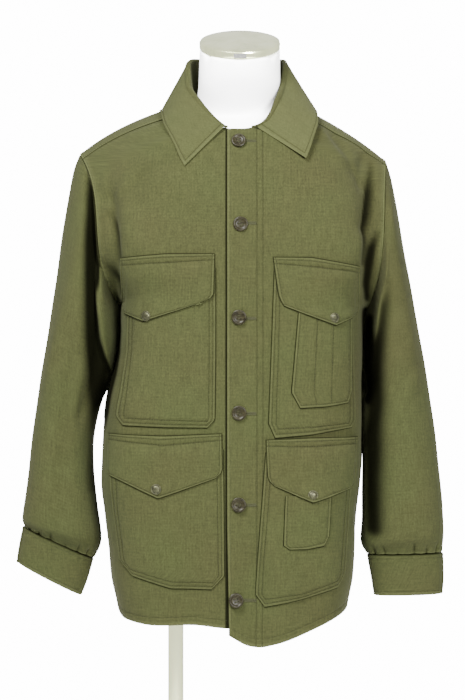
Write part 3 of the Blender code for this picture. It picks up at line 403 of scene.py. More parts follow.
# Shirt-tail hem of each piece: height at x.
HEM = {
    "front_right": table("x z", [(-0.175, 0.6745), (-0.156, 0.660), (-0.112, 0.655), (-0.057, 0.656),
                                 (-0.014, 0.652), (0.030, 0.650)]),
    "front_left": table("x z", [(-0.014, 0.648), (0.001, 0.638), (0.025, 0.6266), (0.040, 0.625),
                                (0.060, 0.6288), (0.097, 0.641), (0.1375, 0.6566), (0.176, 0.6745)]),
    "back": table("x z", [(-0.175, 0.6745), (-0.150, 0.655), (-0.100, 0.640), (0.000, 0.634),
                          (0.100, 0.640), (0.150, 0.655), (0.176, 0.6745)]),
}

# Neckline, from the front (0) round the side (90) to the back (180).
NECK = table("angle z", [(-30, 1.378), (0, 1.374), (30, 1.382), (60, 1.402), (90, 1.424), (120, 1.434),
                         (180, 1.438)])
NECK_HALF_WIDTH = 0.070
NECK_Y = -0.014
NECK_FORE, NECK_AFT = 0.094, 0.078
SHOULDER_ANGLE = 96     # where the shoulder seam meets the neckline

# Sleeves, ring by ring from the armhole to the cuff seam: outer and inner point in front view,
# middle depth, half depth, how square the ring is, how far its front and back bow inwards, and how
# upright they stand.
SLEEVE_ROW = "out_x out_z in_x in_z y fore square bow upright"
SLEEVE = {
    RIGHT: table(SLEEVE_ROW, [
        (0.2295, 1.345, 0.1680, 1.1200, 0.002, 0.079, 2.0, 0, 0.75),
        (0.2375, 1.322, 0.1690, 1.1040, 0.002, 0.084, 2.1, 0, 0.6),
        (0.2445, 1.285, 0.1700, 1.0820, 0.001, 0.088, 2.2, 0, 0.4),
        (0.2535, 1.225, 0.1705, 1.0610, 0.000, 0.090, 2.3, 0, 0.2),
        (0.2650, 1.150, 0.1735, 1.0400, -0.002, 0.088, 2.3, 0, 0.1),
        (0.2790, 1.065, 0.1800, 1.0100, -0.004, 0.080, 2.3, 0, 0),
        (0.2880, 1.000, 0.1960, 0.9720, -0.008, 0.072, 2.3, 0, 0),
        (0.2985, 0.920, 0.2070, 0.9050, -0.012, 0.066, 2.3, 0, 0),
        (0.3080, 0.840, 0.2020, 0.8250, -0.016, 0.062, 2.3, 0, 0),
        (0.3125, 0.803, 0.1955, 0.7720, -0.020, 0.055, 2.3, 0, 0),
        (0.3098, 0.7915, 0.2060, 0.7440, -0.022, 0.034, 2.3, 0, 0)]),
    LEFT: table(SLEEVE_ROW, [
        (0.2300, 1.335, 0.2000, 1.1130, 0.002, 0.079, 2.0, -0.007, 0.6),
        (0.2375, 1.312, 0.2010, 1.0970, 0.002, 0.084, 2.1, -0.006, 0.5),
        (0.2450, 1.272, 0.1990, 1.0750, 0.001, 0.088, 2.2, -0.005, 0.35),
        (0.2545, 1.215, 0.1980, 1.0520, 0.000, 0.089, 2.3, -0.003, 0.2),
        (0.2655, 1.150, 0.1985, 1.0280, -0.002, 0.086, 2.3, -0.001, 0.1),
        (0.2790, 1.075, 0.2020, 0.9950, -0.005, 0.078, 2.3, 0, 0),
        (0.2920, 1.000, 0.1908, 0.9550, -0.008, 0.070, 2.3, 0, 0),
        (0.3050, 0.900, 0.1930, 0.8800, -0.012, 0.065, 2.3, 0, 0),
        (0.3130, 0.820, 0.1935, 0.8080, -0.016, 0.061, 2.3, 0, 0),
        (0.3150, 0.782, 0.1915, 0.7720, -0.019, 0.055, 2.3, 0, 0),
        (0.3120, 0.7525, 0.2000, 0.7500, -0.022, 0.034, 2.3, 0, 0)]),
}

# Soft folds of the fronts and the back, in front view: from one point to another, half width, and
# height outwards (a negative height is a trough).
FOLD_ROW = "x0 z0 x1 z1 wide high"
FOLDS = {
    "front": table(FOLD_ROW, [
        (-0.180, 1.270, -0.172, 1.150, 0.012, -0.009),
        (-0.158, 1.300, -0.150, 1.220, 0.014, 0.004),
        (-0.150, 1.330, -0.060, 1.270, 0.020, 0.004),
        (0.128, 1.372, 0.165, 1.330, 0.010, 0.005),
        (0.150, 1.362, 0.190, 1.300, 0.010, -0.005),
        (0.196, 1.330, 0.192, 1.235, 0.012, -0.009),
        (0.205, 1.225, 0.196, 1.150, 0.012, -0.008),
        (-0.150, 0.960, -0.168, 0.860, 0.020, 0.005),
        (0.150, 0.940, 0.166, 0.820, 0.022, -0.006),
        (0.030, 0.750, 0.020, 0.660, 0.018, -0.005),
        (0.070, 0.760, 0.075, 0.650, 0.024, 0.005),
        (-0.060, 0.760, -0.070, 0.660, 0.026, -0.005)]),
    "back": table(FOLD_ROW, [
        (-0.165, 1.260, -0.150, 1.080, 0.016, -0.010),
        (0.180, 1.255, 0.165, 1.070, 0.016, -0.010),
        (-0.090, 1.020, -0.105, 0.760, 0.030, 0.007),
        (0.080, 1.040, 0.100, 0.770, 0.030, 0.007),
        (0.000, 0.980, -0.010, 0.700, 0.034, -0.008),
        (-0.120, 1.230, -0.040, 1.150, 0.024, 0.004),
        (0.130, 1.230, 0.050, 1.150, 0.024, 0.004),
        (-0.150, 1.200, -0.075, 1.120, 0.012, -0.0030),
        (0.155, 1.205, 0.085, 1.125, 0.012, -0.0030),
        (-0.040, 0.940, -0.052, 0.790, 0.014, 0.0030),
        (0.045, 0.900, 0.040, 0.740, 0.014, 0.0030)]),
}

CREASE_DARK = 0.011     # depth at which a crease's painted shade is full

# Sharp creases of the fronts beside the armholes, in front view. Each is a path of points: x, z, height,
# and how wide it is on its two sides (the viewer's left and right of a path that runs down).
FRONT_CREASES = {
    RIGHT: [
        [(-0.147, 1.302, 0.0015, 0.0060, 0.0060), (-0.166, 1.279, 0.0030, 0.0060, 0.0060),
         (-0.183, 1.261, 0.0030, 0.0060, 0.0060), (-0.191, 1.250, 0.0015, 0.0045, 0.0045)],
        [(-0.183, 1.250, -0.0020, 0.0075, 0.0045), (-0.173, 1.238, -0.0045, 0.0090, 0.0037),
         (-0.167, 1.218, -0.0050, 0.0105, 0.0033), (-0.165, 1.186, -0.0040, 0.0105, 0.0033)],
        [(-0.191, 1.183, -0.0020, 0.0060, 0.0045), (-0.178, 1.164, -0.0050, 0.0060, 0.0045),
         (-0.164, 1.139, -0.0060, 0.0060, 0.0045)],
        [(-0.174, 1.125, -0.0080, 0.0080, 0.0070), (-0.170, 1.080, -0.0120, 0.0090, 0.0060),
         (-0.170, 1.050, -0.0140, 0.0100, 0.0050), (-0.176, 1.020, -0.0140, 0.0100, 0.0060),
         (-0.183, 0.990, -0.0120, 0.0090, 0.0060), (-0.187, 0.960, -0.0080, 0.0075, 0.0060),
         (-0.190, 0.930, -0.0020, 0.0060, 0.0038)],
        [(-0.189, 1.313, 0.0015, 0.0045, 0.0060), (-0.188, 1.261, 0.0020, 0.0045, 0.0060),
         (-0.185, 1.212, 0.0020, 0.0045, 0.0060), (-0.183, 1.183, 0.0010, 0.0045, 0.0045)],
        [(-0.162, 1.276, -0.0014, 0.0120, 0.0090), (-0.120, 1.316, -0.0016, 0.0150, 0.0120),
         (-0.082, 1.342, -0.0010, 0.0150, 0.0120)],
    ],
    LEFT: [
        [(0.201, 1.331, 0.0020, 0.0075, 0.0037), (0.193, 1.284, 0.0035, 0.0090, 0.0037),
         (0.189, 1.248, 0.0035, 0.0090, 0.0037), (0.185, 1.197, 0.0020, 0.0090, 0.0037)],
        [(0.205, 1.328, -0.0030, 0.0037, 0.0060), (0.200, 1.284, -0.0070, 0.0037, 0.0090),
         (0.196, 1.248, -0.0070, 0.0037, 0.0105), (0.195, 1.219, -0.0050, 0.0045, 0.0105),
         (0.193, 1.180, -0.0040, 0.0045, 0.0090)],
        [(0.215, 1.223, -0.0030, 0.0045, 0.0045), (0.209, 1.200, -0.0070, 0.0060, 0.0053),
         (0.203, 1.164, -0.0080, 0.0060, 0.0053), (0.199, 1.129, -0.0070, 0.0060, 0.0053)],
        [(0.196, 1.110, -0.0080, 0.0060, 0.0060), (0.196, 1.050, -0.0080, 0.0045, 0.0060),
         (0.197, 0.990, -0.0050, 0.0038, 0.0045), (0.198, 0.950, -0.0020, 0.0030, 0.0045)],
        [(0.173, 1.342, 0.0025, 0.0060, 0.0060), (0.189, 1.310, 0.0025, 0.0060, 0.0045)],
        [(0.153, 1.357, -0.0016, 0.0105, 0.0075), (0.173, 1.316, -0.0016, 0.0105, 0.0075),
         (0.180, 1.284, -0.0010, 0.0090, 0.0075)],
        [(0.141, 1.342, 0.0012, 0.0135, 0.0120), (0.156, 1.284, 0.0012, 0.0135, 0.0120)],
    ],
}


def curve(keys, values, at):
    """Smooth curve through table rows that never overshoots them."""
    step = np.diff(keys)
    slope = np.diff(values) / step
    tangent = np.empty(len(keys))
    tangent[0], tangent[-1] = slope[0], slope[-1]
    level = slope[:-1] * slope[1:] <= 0
    total = np.where(level, 1, slope[:-1] + slope[1:])
    tangent[1:-1] = np.where(level, 0, 2 * slope[:-1] * slope[1:] / total)
    at = np.clip(at, keys[0], keys[-1])
    i = np.clip(np.searchsorted(keys, at, side="right") - 1, 0, len(step) - 1)
    t = (at - keys[i]) / step[i]
    rise = (3 - 2 * t) * t * t
    return (values[i] * (1 - rise) + values[i + 1] * rise
            + step[i] * (tangent[i] * t * (1 - t) ** 2 - tangent[i + 1] * t * t * (1 - t)))


def fade(x):
    """Smooth step from 0 to 1."""
    x = np.clip(x, 0, 1)
    return x * x * (3 - 2 * x)


def stack(*parts):
    return np.stack(np.broadcast_arrays(*parts), axis=-1)


def ring(rings, share, angle, side):
    """Points of a tube: share of its length, angle in degrees (90 outside, 180 front)."""
    keys = np.linspace(0, 1, len(rings["y"]))
    row = {name: curve(keys, column, share) for name, column in rings.items()}
    sine, cosine = np.sin(np.radians(angle)), np.cos(np.radians(angle))
    out = np.sign(sine) * np.abs(sine) ** (2 / row["square"])
    back = np.sign(cosine) * np.abs(cosine) ** (2 / row["square"])
    half = (row["out_x"] - row["in_x"]) / 2 * (1 - row["upright"] * cosine ** 2)
    x = (row["out_x"] + row["in_x"]) / 2 + out * half - row["bow"] * cosine ** 2
    z = (row["out_z"] + row["in_z"]) / 2 + out * (row["out_z"] - row["in_z"]) / 2
    return stack(side * x, row["y"] + back * row["fore"], z)


def neckline(side, angle):
    """Neckline point: 0 at the centre front, 90 at the side, 180 at the back."""
    sine, cosine = np.sin(np.radians(angle)), np.cos(np.radians(angle))
    reach = np.where(cosine > 0, NECK_FORE, NECK_AFT)
    return stack(CENTRE_X + side * NECK_HALF_WIDTH * sine, NECK_Y - reach * cosine,
                 curve(NECK["angle"], NECK["z"], angle))


def panel(side, face, u, v, hem):
    """Half of the body's outer surface: u from the centre line (0) to the side seam or the armhole
    (1), v from the hem (0) to the shoulder seam (1)."""
    rows = PANELS[face]
    keys = rows["share"]
    neck_row = NECK_ROW if face == "front" else BACK_NECK_ROW
    start = 0 if face == "front" else 180
    turned_by = np.clip((v - neck_row) / (1 - neck_row), 0, 1)
    inner_line = stack(CENTRE_X + 0 * v, curve(keys, rows["y"], v), curve(keys, rows["z"], v))
    round_neck = neckline(side, start + (SHOULDER_ANGLE - start) * turned_by)
    inner = np.where((v > neck_row)[..., None], round_neck, inner_line)

    seam = SIDE_SEAM[side]
    level = HEM_LEVEL + (seam["z"][-1] - HEM_LEVEL) * np.clip(v / UNDERARM_ROW, 0, 1)
    seam_line = stack(side * curve(seam["z"], seam["x"], level), SIDE_Y + 0 * v, level)
    armhole = ring(SLEEVE[side], 0 * v, curve(keys, rows["round"], v), side)
    outer = np.where((v > UNDERARM_ROW)[..., None], armhole, seam_line)

    span = np.abs(outer - inner)
    turn, dip = np.radians(curve(keys, rows["turn"], v)), np.radians(curve(keys, rows["dip"], v))
    arrive = curve(keys, rows["arrive"], v)
    back = 1 if face == "front" else -1
    handle_in = stack(side * curve(keys, rows["leave"], v) * span[..., 0], 0 * v,
                      (outer - inner)[..., 2] * 0.25 * fade((v - neck_row) / 0.04))
    plan = arrive * np.hypot(span[..., 0], span[..., 1])
    steep = fade(dip / math.radians(6))
    handle_out = stack(side * plan * np.cos(turn), back * plan * np.sin(turn),
                       (outer - inner)[..., 2] * 0.25 * (1 - steep) - plan * np.tan(dip) * steep)
    u1 = u[..., None]
    points = (inner * (1 - u1) ** 3 + 3 * (inner + handle_in) * (1 - u1) ** 2 * u1
              + 3 * (outer - handle_out) * (1 - u1) * u1 ** 2 + outer * u1 ** 3)
    drop = curve(HEM[hem]["x"], HEM[hem]["z"], points[..., 0]) - HEM_LEVEL
    points[..., 2] += drop * (1 - fade(v / TAIL_ROW))
    return points


def fold_height(folds, across, along):
    """Sum of soft ridges and troughs, each along a line from one point to another."""
    total = np.zeros(np.broadcast(across, along).shape)
    for x0, z0, x1, z1, wide, high in zip(*folds.values()):
        dx, dz = x1 - x0, z1 - z0
        length = math.hypot(dx, dz)
        t = ((across - x0) * dx + (along - z0) * dz) / length ** 2
        aside = ((across - x0) * dz - (along - z0) * dx) / length
        past = np.maximum(np.maximum(-t, t - 1), 0) * length
        total += high * np.exp(-(aside / wide) ** 2 - (past / (1.3 * wide)) ** 2)
    return total


def crease_height(paths, across, along):
    """Heights of sharp creases, each along a path; their two sides may differ in width."""
    total = np.zeros(np.broadcast(across, along).shape)
    for path in paths:
        nearest = np.full(total.shape, np.inf)
        height = np.zeros(total.shape)
        for (x0, z0, *start), (x1, z1, *end) in zip(path, path[1:]):
            dx, dz = x1 - x0, z1 - z0
            t = np.clip(((across - x0) * dx + (along - z0) * dz) / (dx * dx + dz * dz), 0, 1)
            off_x, off_z = across - x0 - t * dx, along - z0 - t * dz
            far = np.hypot(off_x, off_z)
            high, left, right = (a + (b - a) * t for a, b in zip(start, end))
            lean = (off_x * dz - off_z * dx) / np.maximum(far * math.hypot(dx, dz), 1e-9)
            wide = right + (left - right) * fade(0.5 + 0.5 * lean)
            height = np.where(far < nearest, high * np.exp(-(far / wide) ** 2), height)
            nearest = np.minimum(nearest, far)
        total += height
    return total


def normals(surface, u, v):
    """Unit normals of a surface function at u, v."""
    e = 1e-3
    across = surface(u + e, v) - surface(u - e, v)
    along = surface(u, v + e) - surface(u, v - e)
    n = np.cross(across, along)
    return n / np.maximum(np.linalg.norm(n, axis=-1, keepdims=True), 1e-12)


WAVES = table("x z y phase high", [     # gentle unevenness of the hanging cloth, as waves in space
    (31, 12, 9, 0.4, 0.00050), (-17, 27, 15, 1.9, 0.00045), (48, -22, 11, 3.1, 0.00030),
    (9, 61, -14, 4.4, 0.00025), (73, 19, 23, 5.2, 0.00018)])


def sway(points):
    total = 0
    for x, z, y, phase, high in zip(*WAVES.values()):
        total = total + high * np.sin(points[..., 0] * x + points[..., 2] * z + points[..., 1] * y + phase)
    return total


def front_crease(side, points, u, v):
    """Height of a front's sharp creases at points of its surface."""
    height = crease_height(FRONT_CREASES[side], points[..., 0], points[..., 2])
    return height * fade((1 - u) / 0.012) * fade((1 - v) / 0.05)


def shaded(height):
    """How much painted shade a crease of this height gets, from 0 to 1."""
    return 0.93 * fade(-height / CREASE_DARK)


def skin(side, face, hem, u, v, lift=0.0, creased=True):
    """A body panel's outer surface with its folds, moved out by lift."""
    def plain(a, b):
        return panel(side, face, np.clip(a, 0, 1), np.clip(b, 0, 1), hem)
    points = plain(u, v)
    out = normals(plain, np.clip(u, 2e-3, 1 - 2e-3), np.clip(v, 2e-3, 1 - 2e-3))
    out *= side if face == "front" else -side
    height = fold_height(FOLDS[face], points[..., 0], points[..., 2]) + sway(points)
    height *= fade((1 - u) / 0.05) * fade((1 - v) / 0.06)
    crease = front_crease(side, points, u, v) if face == "front" and creased else 0
    return points + out * (height + lift)[..., None] - stack(0, crease, 0 * v)


def under_layer(u):
    """How far the front underneath lies inside the top one; it comes level beside the band."""
    return (CLOTH + 2 * LAY_GAP) * (1 - fade((u - 0.10) / 0.25))


def front_skin(side, u, v, lift=0.0, creased=True):
    if side == LEFT:
        return skin(LEFT, "front", "front_left", u, v, lift, creased)
    return skin(RIGHT, "front", "front_right", u, v, lift - under_layer(u), creased)


# Grid lines. A mark is (share, offset): a share of the length plus an offset in metres. A stitched
# line has three grid lines, so that the thread pulls a real groove into the cloth.
GROOVE_WIDE = 0.0013
GROOVE_DEEP = 0.00075
GROOVE_REACH = 0.55 * GROOVE_WIDE
TUCK_DEEP = 0.0032      # how far a seam's edge is turned in
TUCK_REACH = 0.0008     # and how near its edge
TUCK_LINES = (0, 0.0007, 0.0016, 0.0032)


def stitched(*lines):
    return [(share, offset + side * GROOVE_WIDE) for share, offset in lines for side in (-1, 0, 1)]


def tucked(share, sign):
    """Grid lines of an edge that is turned in, at share 0 (sign 1) or share 1 (sign -1)."""
    return [(share, sign * d) for d in TUCK_LINES]


def fill_in(marks, length, step):
    """All grid lines: the marks, and lines between them no further apart than step."""
    marks = sorted(set(marks), key=lambda m: m[0] * length + m[1])
    made = [marks[0]]
    for a, b in zip(marks, marks[1:]):
        gap = (b[0] - a[0]) * length + b[1] - a[1]
        count = max(1, math.ceil(gap / step))
        for i in range(1, count + 1):
            made.append((a[0] + (b[0] - a[0]) * i / count, a[1] + (b[1] - a[1]) * i / count))
    return np.array(made)


def lengths(marks, length):
    """Where the grid lines lie, in metres."""
    return marks[:, 0] * length + marks[:, 1]


def groove(marks, lines, length):
    """Depth of the stitched grooves at each grid line."""
    at = lengths(marks, length)
    depth = np.zeros(len(marks))
    for share, offset in lines:
        depth -= GROOVE_DEEP * np.exp(-((at - share * length - offset) / GROOVE_REACH) ** 2)
    return depth


def tuck(marks, length, *ends):
    """Depth of turned-in edges at share 0 or 1 of each grid line."""
    at = lengths(marks, length)
    return -TUCK_DEEP * sum(np.exp(-((at - end * length) / TUCK_REACH) ** 2) for end in ends)


def seam_shade(marks, length, *ends):
    """Painted shade of the cloth deep in its seams, from 0 to 1, at each grid line."""
    at = lengths(marks, length)
    return 0.85 * sum(np.exp(-((at - end * length) / 0.0013) ** 4) for end in ends)


def index_of(marks, share, offset, length):
    """Number of the grid line nearest to a mark."""
    return int(np.argmin(np.abs(lengths(marks, length) - share * length - offset)))


def across_rows(surface, v, marks):
    """u of each grid point, so that the columns lie at set lengths along every row."""
    t = np.linspace(0, 1, 120)
    tt, vv = np.meshgrid(t, v)
    steps = np.linalg.norm(np.diff(surface(tt, vv), axis=1), axis=2)
    run = np.concatenate([np.zeros((len(v), 1)), np.cumsum(steps, axis=1)], axis=1)
    wanted = marks[:, 0] * run[:, -1:] + marks[:, 1]
    return np.stack([np.interp(w, r, t) for w, r in zip(wanted, run)])


def grid_normals(points):
    n = np.cross(np.gradient(points, axis=1), np.gradient(points, axis=0))
    return n / np.maximum(np.linalg.norm(n, axis=-1, keepdims=True), 1e-12)


def chart(points, start=0.0, side=1, tube=False, bent=False):
    """Cloth coordinates of a grid in metres: along its rows, and by its height. A bent piece's are
    measured up its columns too, and a tube's also from its middle line."""
    zero_column, zero_row = np.zeros((len(points), 1)), np.zeros((1, points.shape[1]))
    steps = np.linalg.norm(np.diff(points, axis=1), axis=2)
    across = np.concatenate([zero_column, np.cumsum(steps, axis=1)], axis=1)
    up = points[..., 2]
    if tube or bent:
        rises = np.linalg.norm(np.diff(points, axis=0), axis=2)
        up = np.concatenate([zero_row, np.cumsum(rises, axis=0)], axis=0)
        up = up[-1:] - up
    if tube:
        across = across - across[:, -1:] / 2
    return np.stack([side * (across + start), up], axis=-1)


# Olive wool whipcord: steep fine ribs, slubs along both threads, a brushed bloom, and edges that have worn
# paler.
# Painted shade mixes the colour towards near black in seams, grooves, creases and under edges, and takes its
# sheen and shine away there. The patterns follow the cloth's own coordinates, so they run with each cut
# piece.
OLIVE_GREEN = (0.0140, 0.0163, 0.0054, 1)
OLIVE_BROWN = (0.0142, 0.0148, 0.0052, 1)
# pale colour of worn edges, also used for the painted light on the collar's front halves
OLIVE_WORN_AND_LIT = (0.0280, 0.0310, 0.0118, 1)
# near black of the painted shade in seams, grooves, creases and under edges
OLIVE_PAINTED_SHADE = (0.0008, 0.0008, 0.0005, 1)
RIB_PITCH = 0.0012
RIB_ANGLE = 63
WOOL_SHEEN, WOOL_SHINE = 0.02, 0.04     # away from painted shade, which takes them away in seams and creases


def whipcord(name, green, brown, worn):
    """Wool cloth in the given colours."""
    made, shader, node, links = bare(name)
    cloth_map = node("ShaderNodeUVMap", uv_map="UVMap").outputs[0]
    where = node("ShaderNodeTexCoord").outputs["Object"]

    def noise(vector, scale, detail, stretch=None):
        if stretch:
            vector = node("ShaderNodeMapping", in_0=vector, in_3=stretch).outputs[0]
        return node("ShaderNodeTexNoise", in_0=vector, in_2=scale, in_3=detail).outputs[0]

    def maths(operation, a, b):
        return node("ShaderNodeMath", operation=operation, in_0=a, in_1=b).outputs[0]

    warp = noise(cloth_map, 1.0, 3.0, (420.0, 38.0, 1.0))
    weft = noise(cloth_map, 1.0, 3.0, (38.0, 420.0, 1.0))
    bloom = noise(where, 7.0, 3.0)
    fuzz = noise(cloth_map, 900.0, 2.0)
    lean = node("ShaderNodeMapping", in_0=cloth_map, in_2=(0, 0, math.radians(RIB_ANGLE)),
                in_3=(1 / RIB_PITCH, 1 / RIB_PITCH, 1.0)).outputs[0]
    ribs = node("ShaderNodeTexWave", in_0=lean, in_1=math.pi / 10, in_2=1.2, in_3=2.0).outputs[1]

    ground = ramp(node, bloom, [(0.35, brown), (0.65, green)])
    slub = maths("ADD", maths("MULTIPLY", warp, 0.34), maths("MULTIPLY", weft, 0.26))
    slub = maths("ADD", slub, maths("MULTIPLY", noise(cloth_map, 1.0, 1.0, (420.0, 300.0, 1.0)), 0.40))
    shade = ramp(node, slub, [(0.34, (0.68, 0.68, 0.68, 1)), (0.5, (0.98, 0.98, 0.98, 1)),
                              (0.66, (1.32, 1.32, 1.32, 1))])
    mixed = node("ShaderNodeMix", data_type="RGBA", blend_type="MULTIPLY")
    mixed.inputs["Factor"].default_value = 1.0
    links.new(ground, mixed.inputs[6])
    links.new(shade, mixed.inputs[7])
    # Worn edges are mixed towards the pale colour, and so is the painted light on the collar's front halves.
    rubbed = node("ShaderNodeAttribute", attribute_name="rubbed").outputs["Fac"]
    paled = node("ShaderNodeMix", data_type="RGBA")
    links.new(maths("MULTIPLY", rubbed, maths("ADD", 0.25, slub)), paled.inputs["Factor"])
    links.new(mixed.outputs[2], paled.inputs[6])
    paled.inputs[7].default_value = worn
    # Painted shade: the colour is mixed towards near black as far as each point of a piece is marked in
    # shade.
    painted_shade = node("ShaderNodeAttribute", attribute_name="painted_shade").outputs["Fac"]
    painted_shade_mix = node("ShaderNodeMix", data_type="RGBA")
    links.new(painted_shade, painted_shade_mix.inputs["Factor"])
    links.new(paled.outputs[2], painted_shade_mix.inputs[6])
    painted_shade_mix.inputs[7].default_value = OLIVE_PAINTED_SHADE
    links.new(painted_shade_mix.outputs[2], shader.inputs["Base Color"])

    height = maths("ADD", maths("MULTIPLY", ribs, 0.12), maths("MULTIPLY", slub, 0.9))
    height = maths("ADD", height, maths("MULTIPLY", fuzz, 0.35))
    weave = node("ShaderNodeBump", in_0=0.55, in_1=0.0005)
    links.new(height, weave.inputs["Height"])
    pucker = noise(cloth_map, 1.0, 2.0, (170.0, 170.0, 1.0))
    pulled = node("ShaderNodeBump", in_0=0.7, in_1=0.0016)
    sewn = node("ShaderNodeAttribute", attribute_name="sewn").outputs["Fac"]
    links.new(maths("MULTIPLY", pucker, sewn), pulled.inputs["Height"])
    links.new(weave.outputs[0], pulled.inputs["Normal"])
    links.new(pulled.outputs[0], shader.inputs["Normal"])
    shader.inputs["Roughness"].default_value = 0.9
    # Painted shade takes the sheen and the shine away too.
    open_to_light = maths("SUBTRACT", 1.0, painted_shade)
    for label, full in (("Sheen Weight", WOOL_SHEEN), ("Specular IOR Level", WOOL_SHINE)):
        shader.inputs[label].default_value = full
        links.new(maths("MULTIPLY", open_to_light, full), shader.inputs[label])
    shader.inputs["Sheen Roughness"].default_value = 0.6
    shader.inputs["Sheen Tint"].default_value = (0.75, 0.78, 0.50, 1)
    return made


wool = whipcord("olive_whipcord", OLIVE_GREEN, OLIVE_BROWN, OLIVE_WORN_AND_LIT)

THREAD_OLIVE = (0.0080, 0.0086, 0.0032, 1)
THREAD_LIGHT = (0.0150, 0.0160, 0.0060, 1)
thread = mottled("olive_thread", (1400.0, 2.0, 0), [(0.35, THREAD_OLIVE), (0.70, THREAD_LIGHT)], 0.8,
                 relief=(1400.0, 2.0, 0.4, 0.0002), specular=0.08)


def set_attribute(mesh, name, values):
    layer = mesh.attributes.new(name, "FLOAT", "POINT")
    layer.data.foreach_set("value", np.asarray(values, np.float32).reshape(-1))


def flipped(*layers):
    """The layers of a grid with their columns the other way round."""
    shape = layers[0].shape[:2]
    return tuple(np.broadcast_to(layer, shape + layer.shape[2:])[:, ::-1] for layer in layers)


def cloth(name, grids, thickness, solids, flip=False):
    """A piece of cloth: each grid is a primitive grid moved onto its surface, the grids are sewn into
    one sheet, and the wall's thickness is given inwards. A grid is (points, chart, rubbed, shade, sewn),
    where shade is how much painted shade each point gets."""
    sheets = []
    for points, places, rubbed, painted_shade, sewn in grids:
        rows, columns = points.shape[:2]
        bpy.ops.object.select_all(action="DESELECT")
        bpy.ops.mesh.primitive_grid_add(x_subdivisions=columns - 1, y_subdivisions=rows - 1)
        sheet = bpy.context.object
        mesh = sheet.data
        mesh.vertices.foreach_set("co", np.ascontiguousarray(points).reshape(-1))
        corner = np.empty(len(mesh.loops), np.int32)
        mesh.loops.foreach_get("vertex_index", corner)
        mesh.uv_layers[0].name = "UVMap"
        mesh.uv_layers[0].data.foreach_set("uv", places.reshape(-1, 2)[corner].reshape(-1))
        for label, values in (("rubbed", rubbed), ("painted_shade", painted_shade), ("sewn", sewn)):
            set_attribute(mesh, label, np.broadcast_to(values, (rows, columns)))
        sheets.append(sheet)
    made = sheets[0]
    pick(*sheets)
    if len(sheets) > 1:
        bpy.ops.object.join()
    bpy.ops.object.mode_set(mode="EDIT")
    bpy.ops.mesh.select_all(action="SELECT")
    bpy.ops.mesh.remove_doubles(threshold=0.00003)
    if flip:
        bpy.ops.mesh.flip_normals()
    bpy.ops.object.mode_set(mode="OBJECT")
    wall = made.modifiers.new("wall", "SOLIDIFY")
    wall.thickness = thickness
    wall.offset = -1
    wall.use_even_offset = False
    apply_all(made)
    smooth(made, 55)
    finished(made, name, wool)
    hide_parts(*solids)
    return made


# One stitch: a short thread that dives into the cloth at both ends.
STITCH_LONG = 0.0026
STITCH_PITCH = 0.0036
STITCH_THICK = 0.00036
STITCH_SIDES = 5
STITCH_BEND = 0.28      # where the thread bends down, as a share of its length from the middle


def stitch_shape():
    bpy.ops.object.select_all(action="DESELECT")
    bpy.ops.mesh.primitive_cylinder_add(vertices=STITCH_SIDES, radius=STITCH_THICK, depth=STITCH_LONG,
                                        rotation=(0, math.radians(90), 0))
    made = bpy.context.object
    bpy.ops.object.transform_apply(location=False, rotation=True, scale=True)
    bpy.ops.object.mode_set(mode="EDIT")
    for cut in (-STITCH_BEND, STITCH_BEND):
        bpy.ops.mesh.select_all(action="SELECT")
        bpy.ops.mesh.bisect(plane_co=(cut * STITCH_LONG, 0, 0), plane_no=(1, 0, 0))
    bpy.ops.object.mode_set(mode="OBJECT")
    for vertex in made.data.vertices:
        if abs(vertex.co.x) > 0.4 * STITCH_LONG:
            vertex.co.y *= 0.5
            vertex.co.z = vertex.co.z * 0.5 - STITCH_THICK * 1.1
    shape = np.array([v.co for v in made.data.vertices])
    faces = [tuple(p.vertices) for p in made.data.polygons]
    bpy.data.objects.remove(made)
    return shape, faces


STITCH_POINTS, STITCH_FACES = stitch_shape()


def along_path(run, values, at):
    """A path's points or normals, read at lengths along it."""
    return np.stack([np.interp(at, run, column) for column in values.T], axis=1)


def lay_stitches(name, paths, pitch=STITCH_PITCH, rise=0.00012):
    """Rows of stitches along paths of (points, normals), as one joined mesh."""
    places, frames = [], []
    for points, out in paths:
        run = np.concatenate([[0], np.cumsum(np.linalg.norm(np.diff(points, axis=0), axis=1))])
        if run[-1] < 1.5 * pitch:
            continue
        at = np.arange(pitch * 0.6, run[-1] - pitch * 0.4, pitch)
        up = along_path(run, out, at)
        along = along_path(run, points, at + 0.0008) - along_path(run, points, at - 0.0008)
        along /= np.maximum(np.linalg.norm(along, axis=1, keepdims=True), 1e-9)
        up -= along * (up * along).sum(axis=1, keepdims=True)
        up /= np.maximum(np.linalg.norm(up, axis=1, keepdims=True), 1e-9)
        places.append(along_path(run, points, at) + up * rise)
        frames.append(np.stack([along, np.cross(up, along), up], axis=1))
    places, frames = np.concatenate(places), np.concatenate(frames)
    points = (np.einsum("pk,nkx->npx", STITCH_POINTS, frames) + places[:, None]).reshape(-1, 3)
    count = len(STITCH_POINTS)
    faces = [tuple(i + n * count for i in face) for n in range(len(places)) for face in STITCH_FACES]
    mesh = bpy.data.meshes.new(name)
    mesh.from_pydata(points.tolist(), [], faces)
    made = bpy.data.objects.new(name, mesh)
    bpy.context.scene.collection.objects.link(made)
    smooth(made, 60)
    return finished(made, name, thread)


def seam_path(points, out, rows=slice(None), columns=slice(None)):
    """A stitched line of a grid: one of its columns or rows."""
    path, normal = points[rows, columns], out[rows, columns]
    return path.reshape(-1, 3), normal.reshape(-1, 3)


WEAR_NEAR = 0.0035      # how far from a folded edge the cloth is rubbed
SEWN_NEAR = 0.0060      # how far from a stitched line the cloth puckers


def near_lines(marks, lines, length, reach):
    """1 on the lines, fading out over reach, at each grid line."""
    at = lengths(marks, length)
    total = np.zeros(len(marks))
    for share, offset in lines:
        total = np.maximum(total, np.exp(-((at - share * length - offset) / reach) ** 2))
    return total


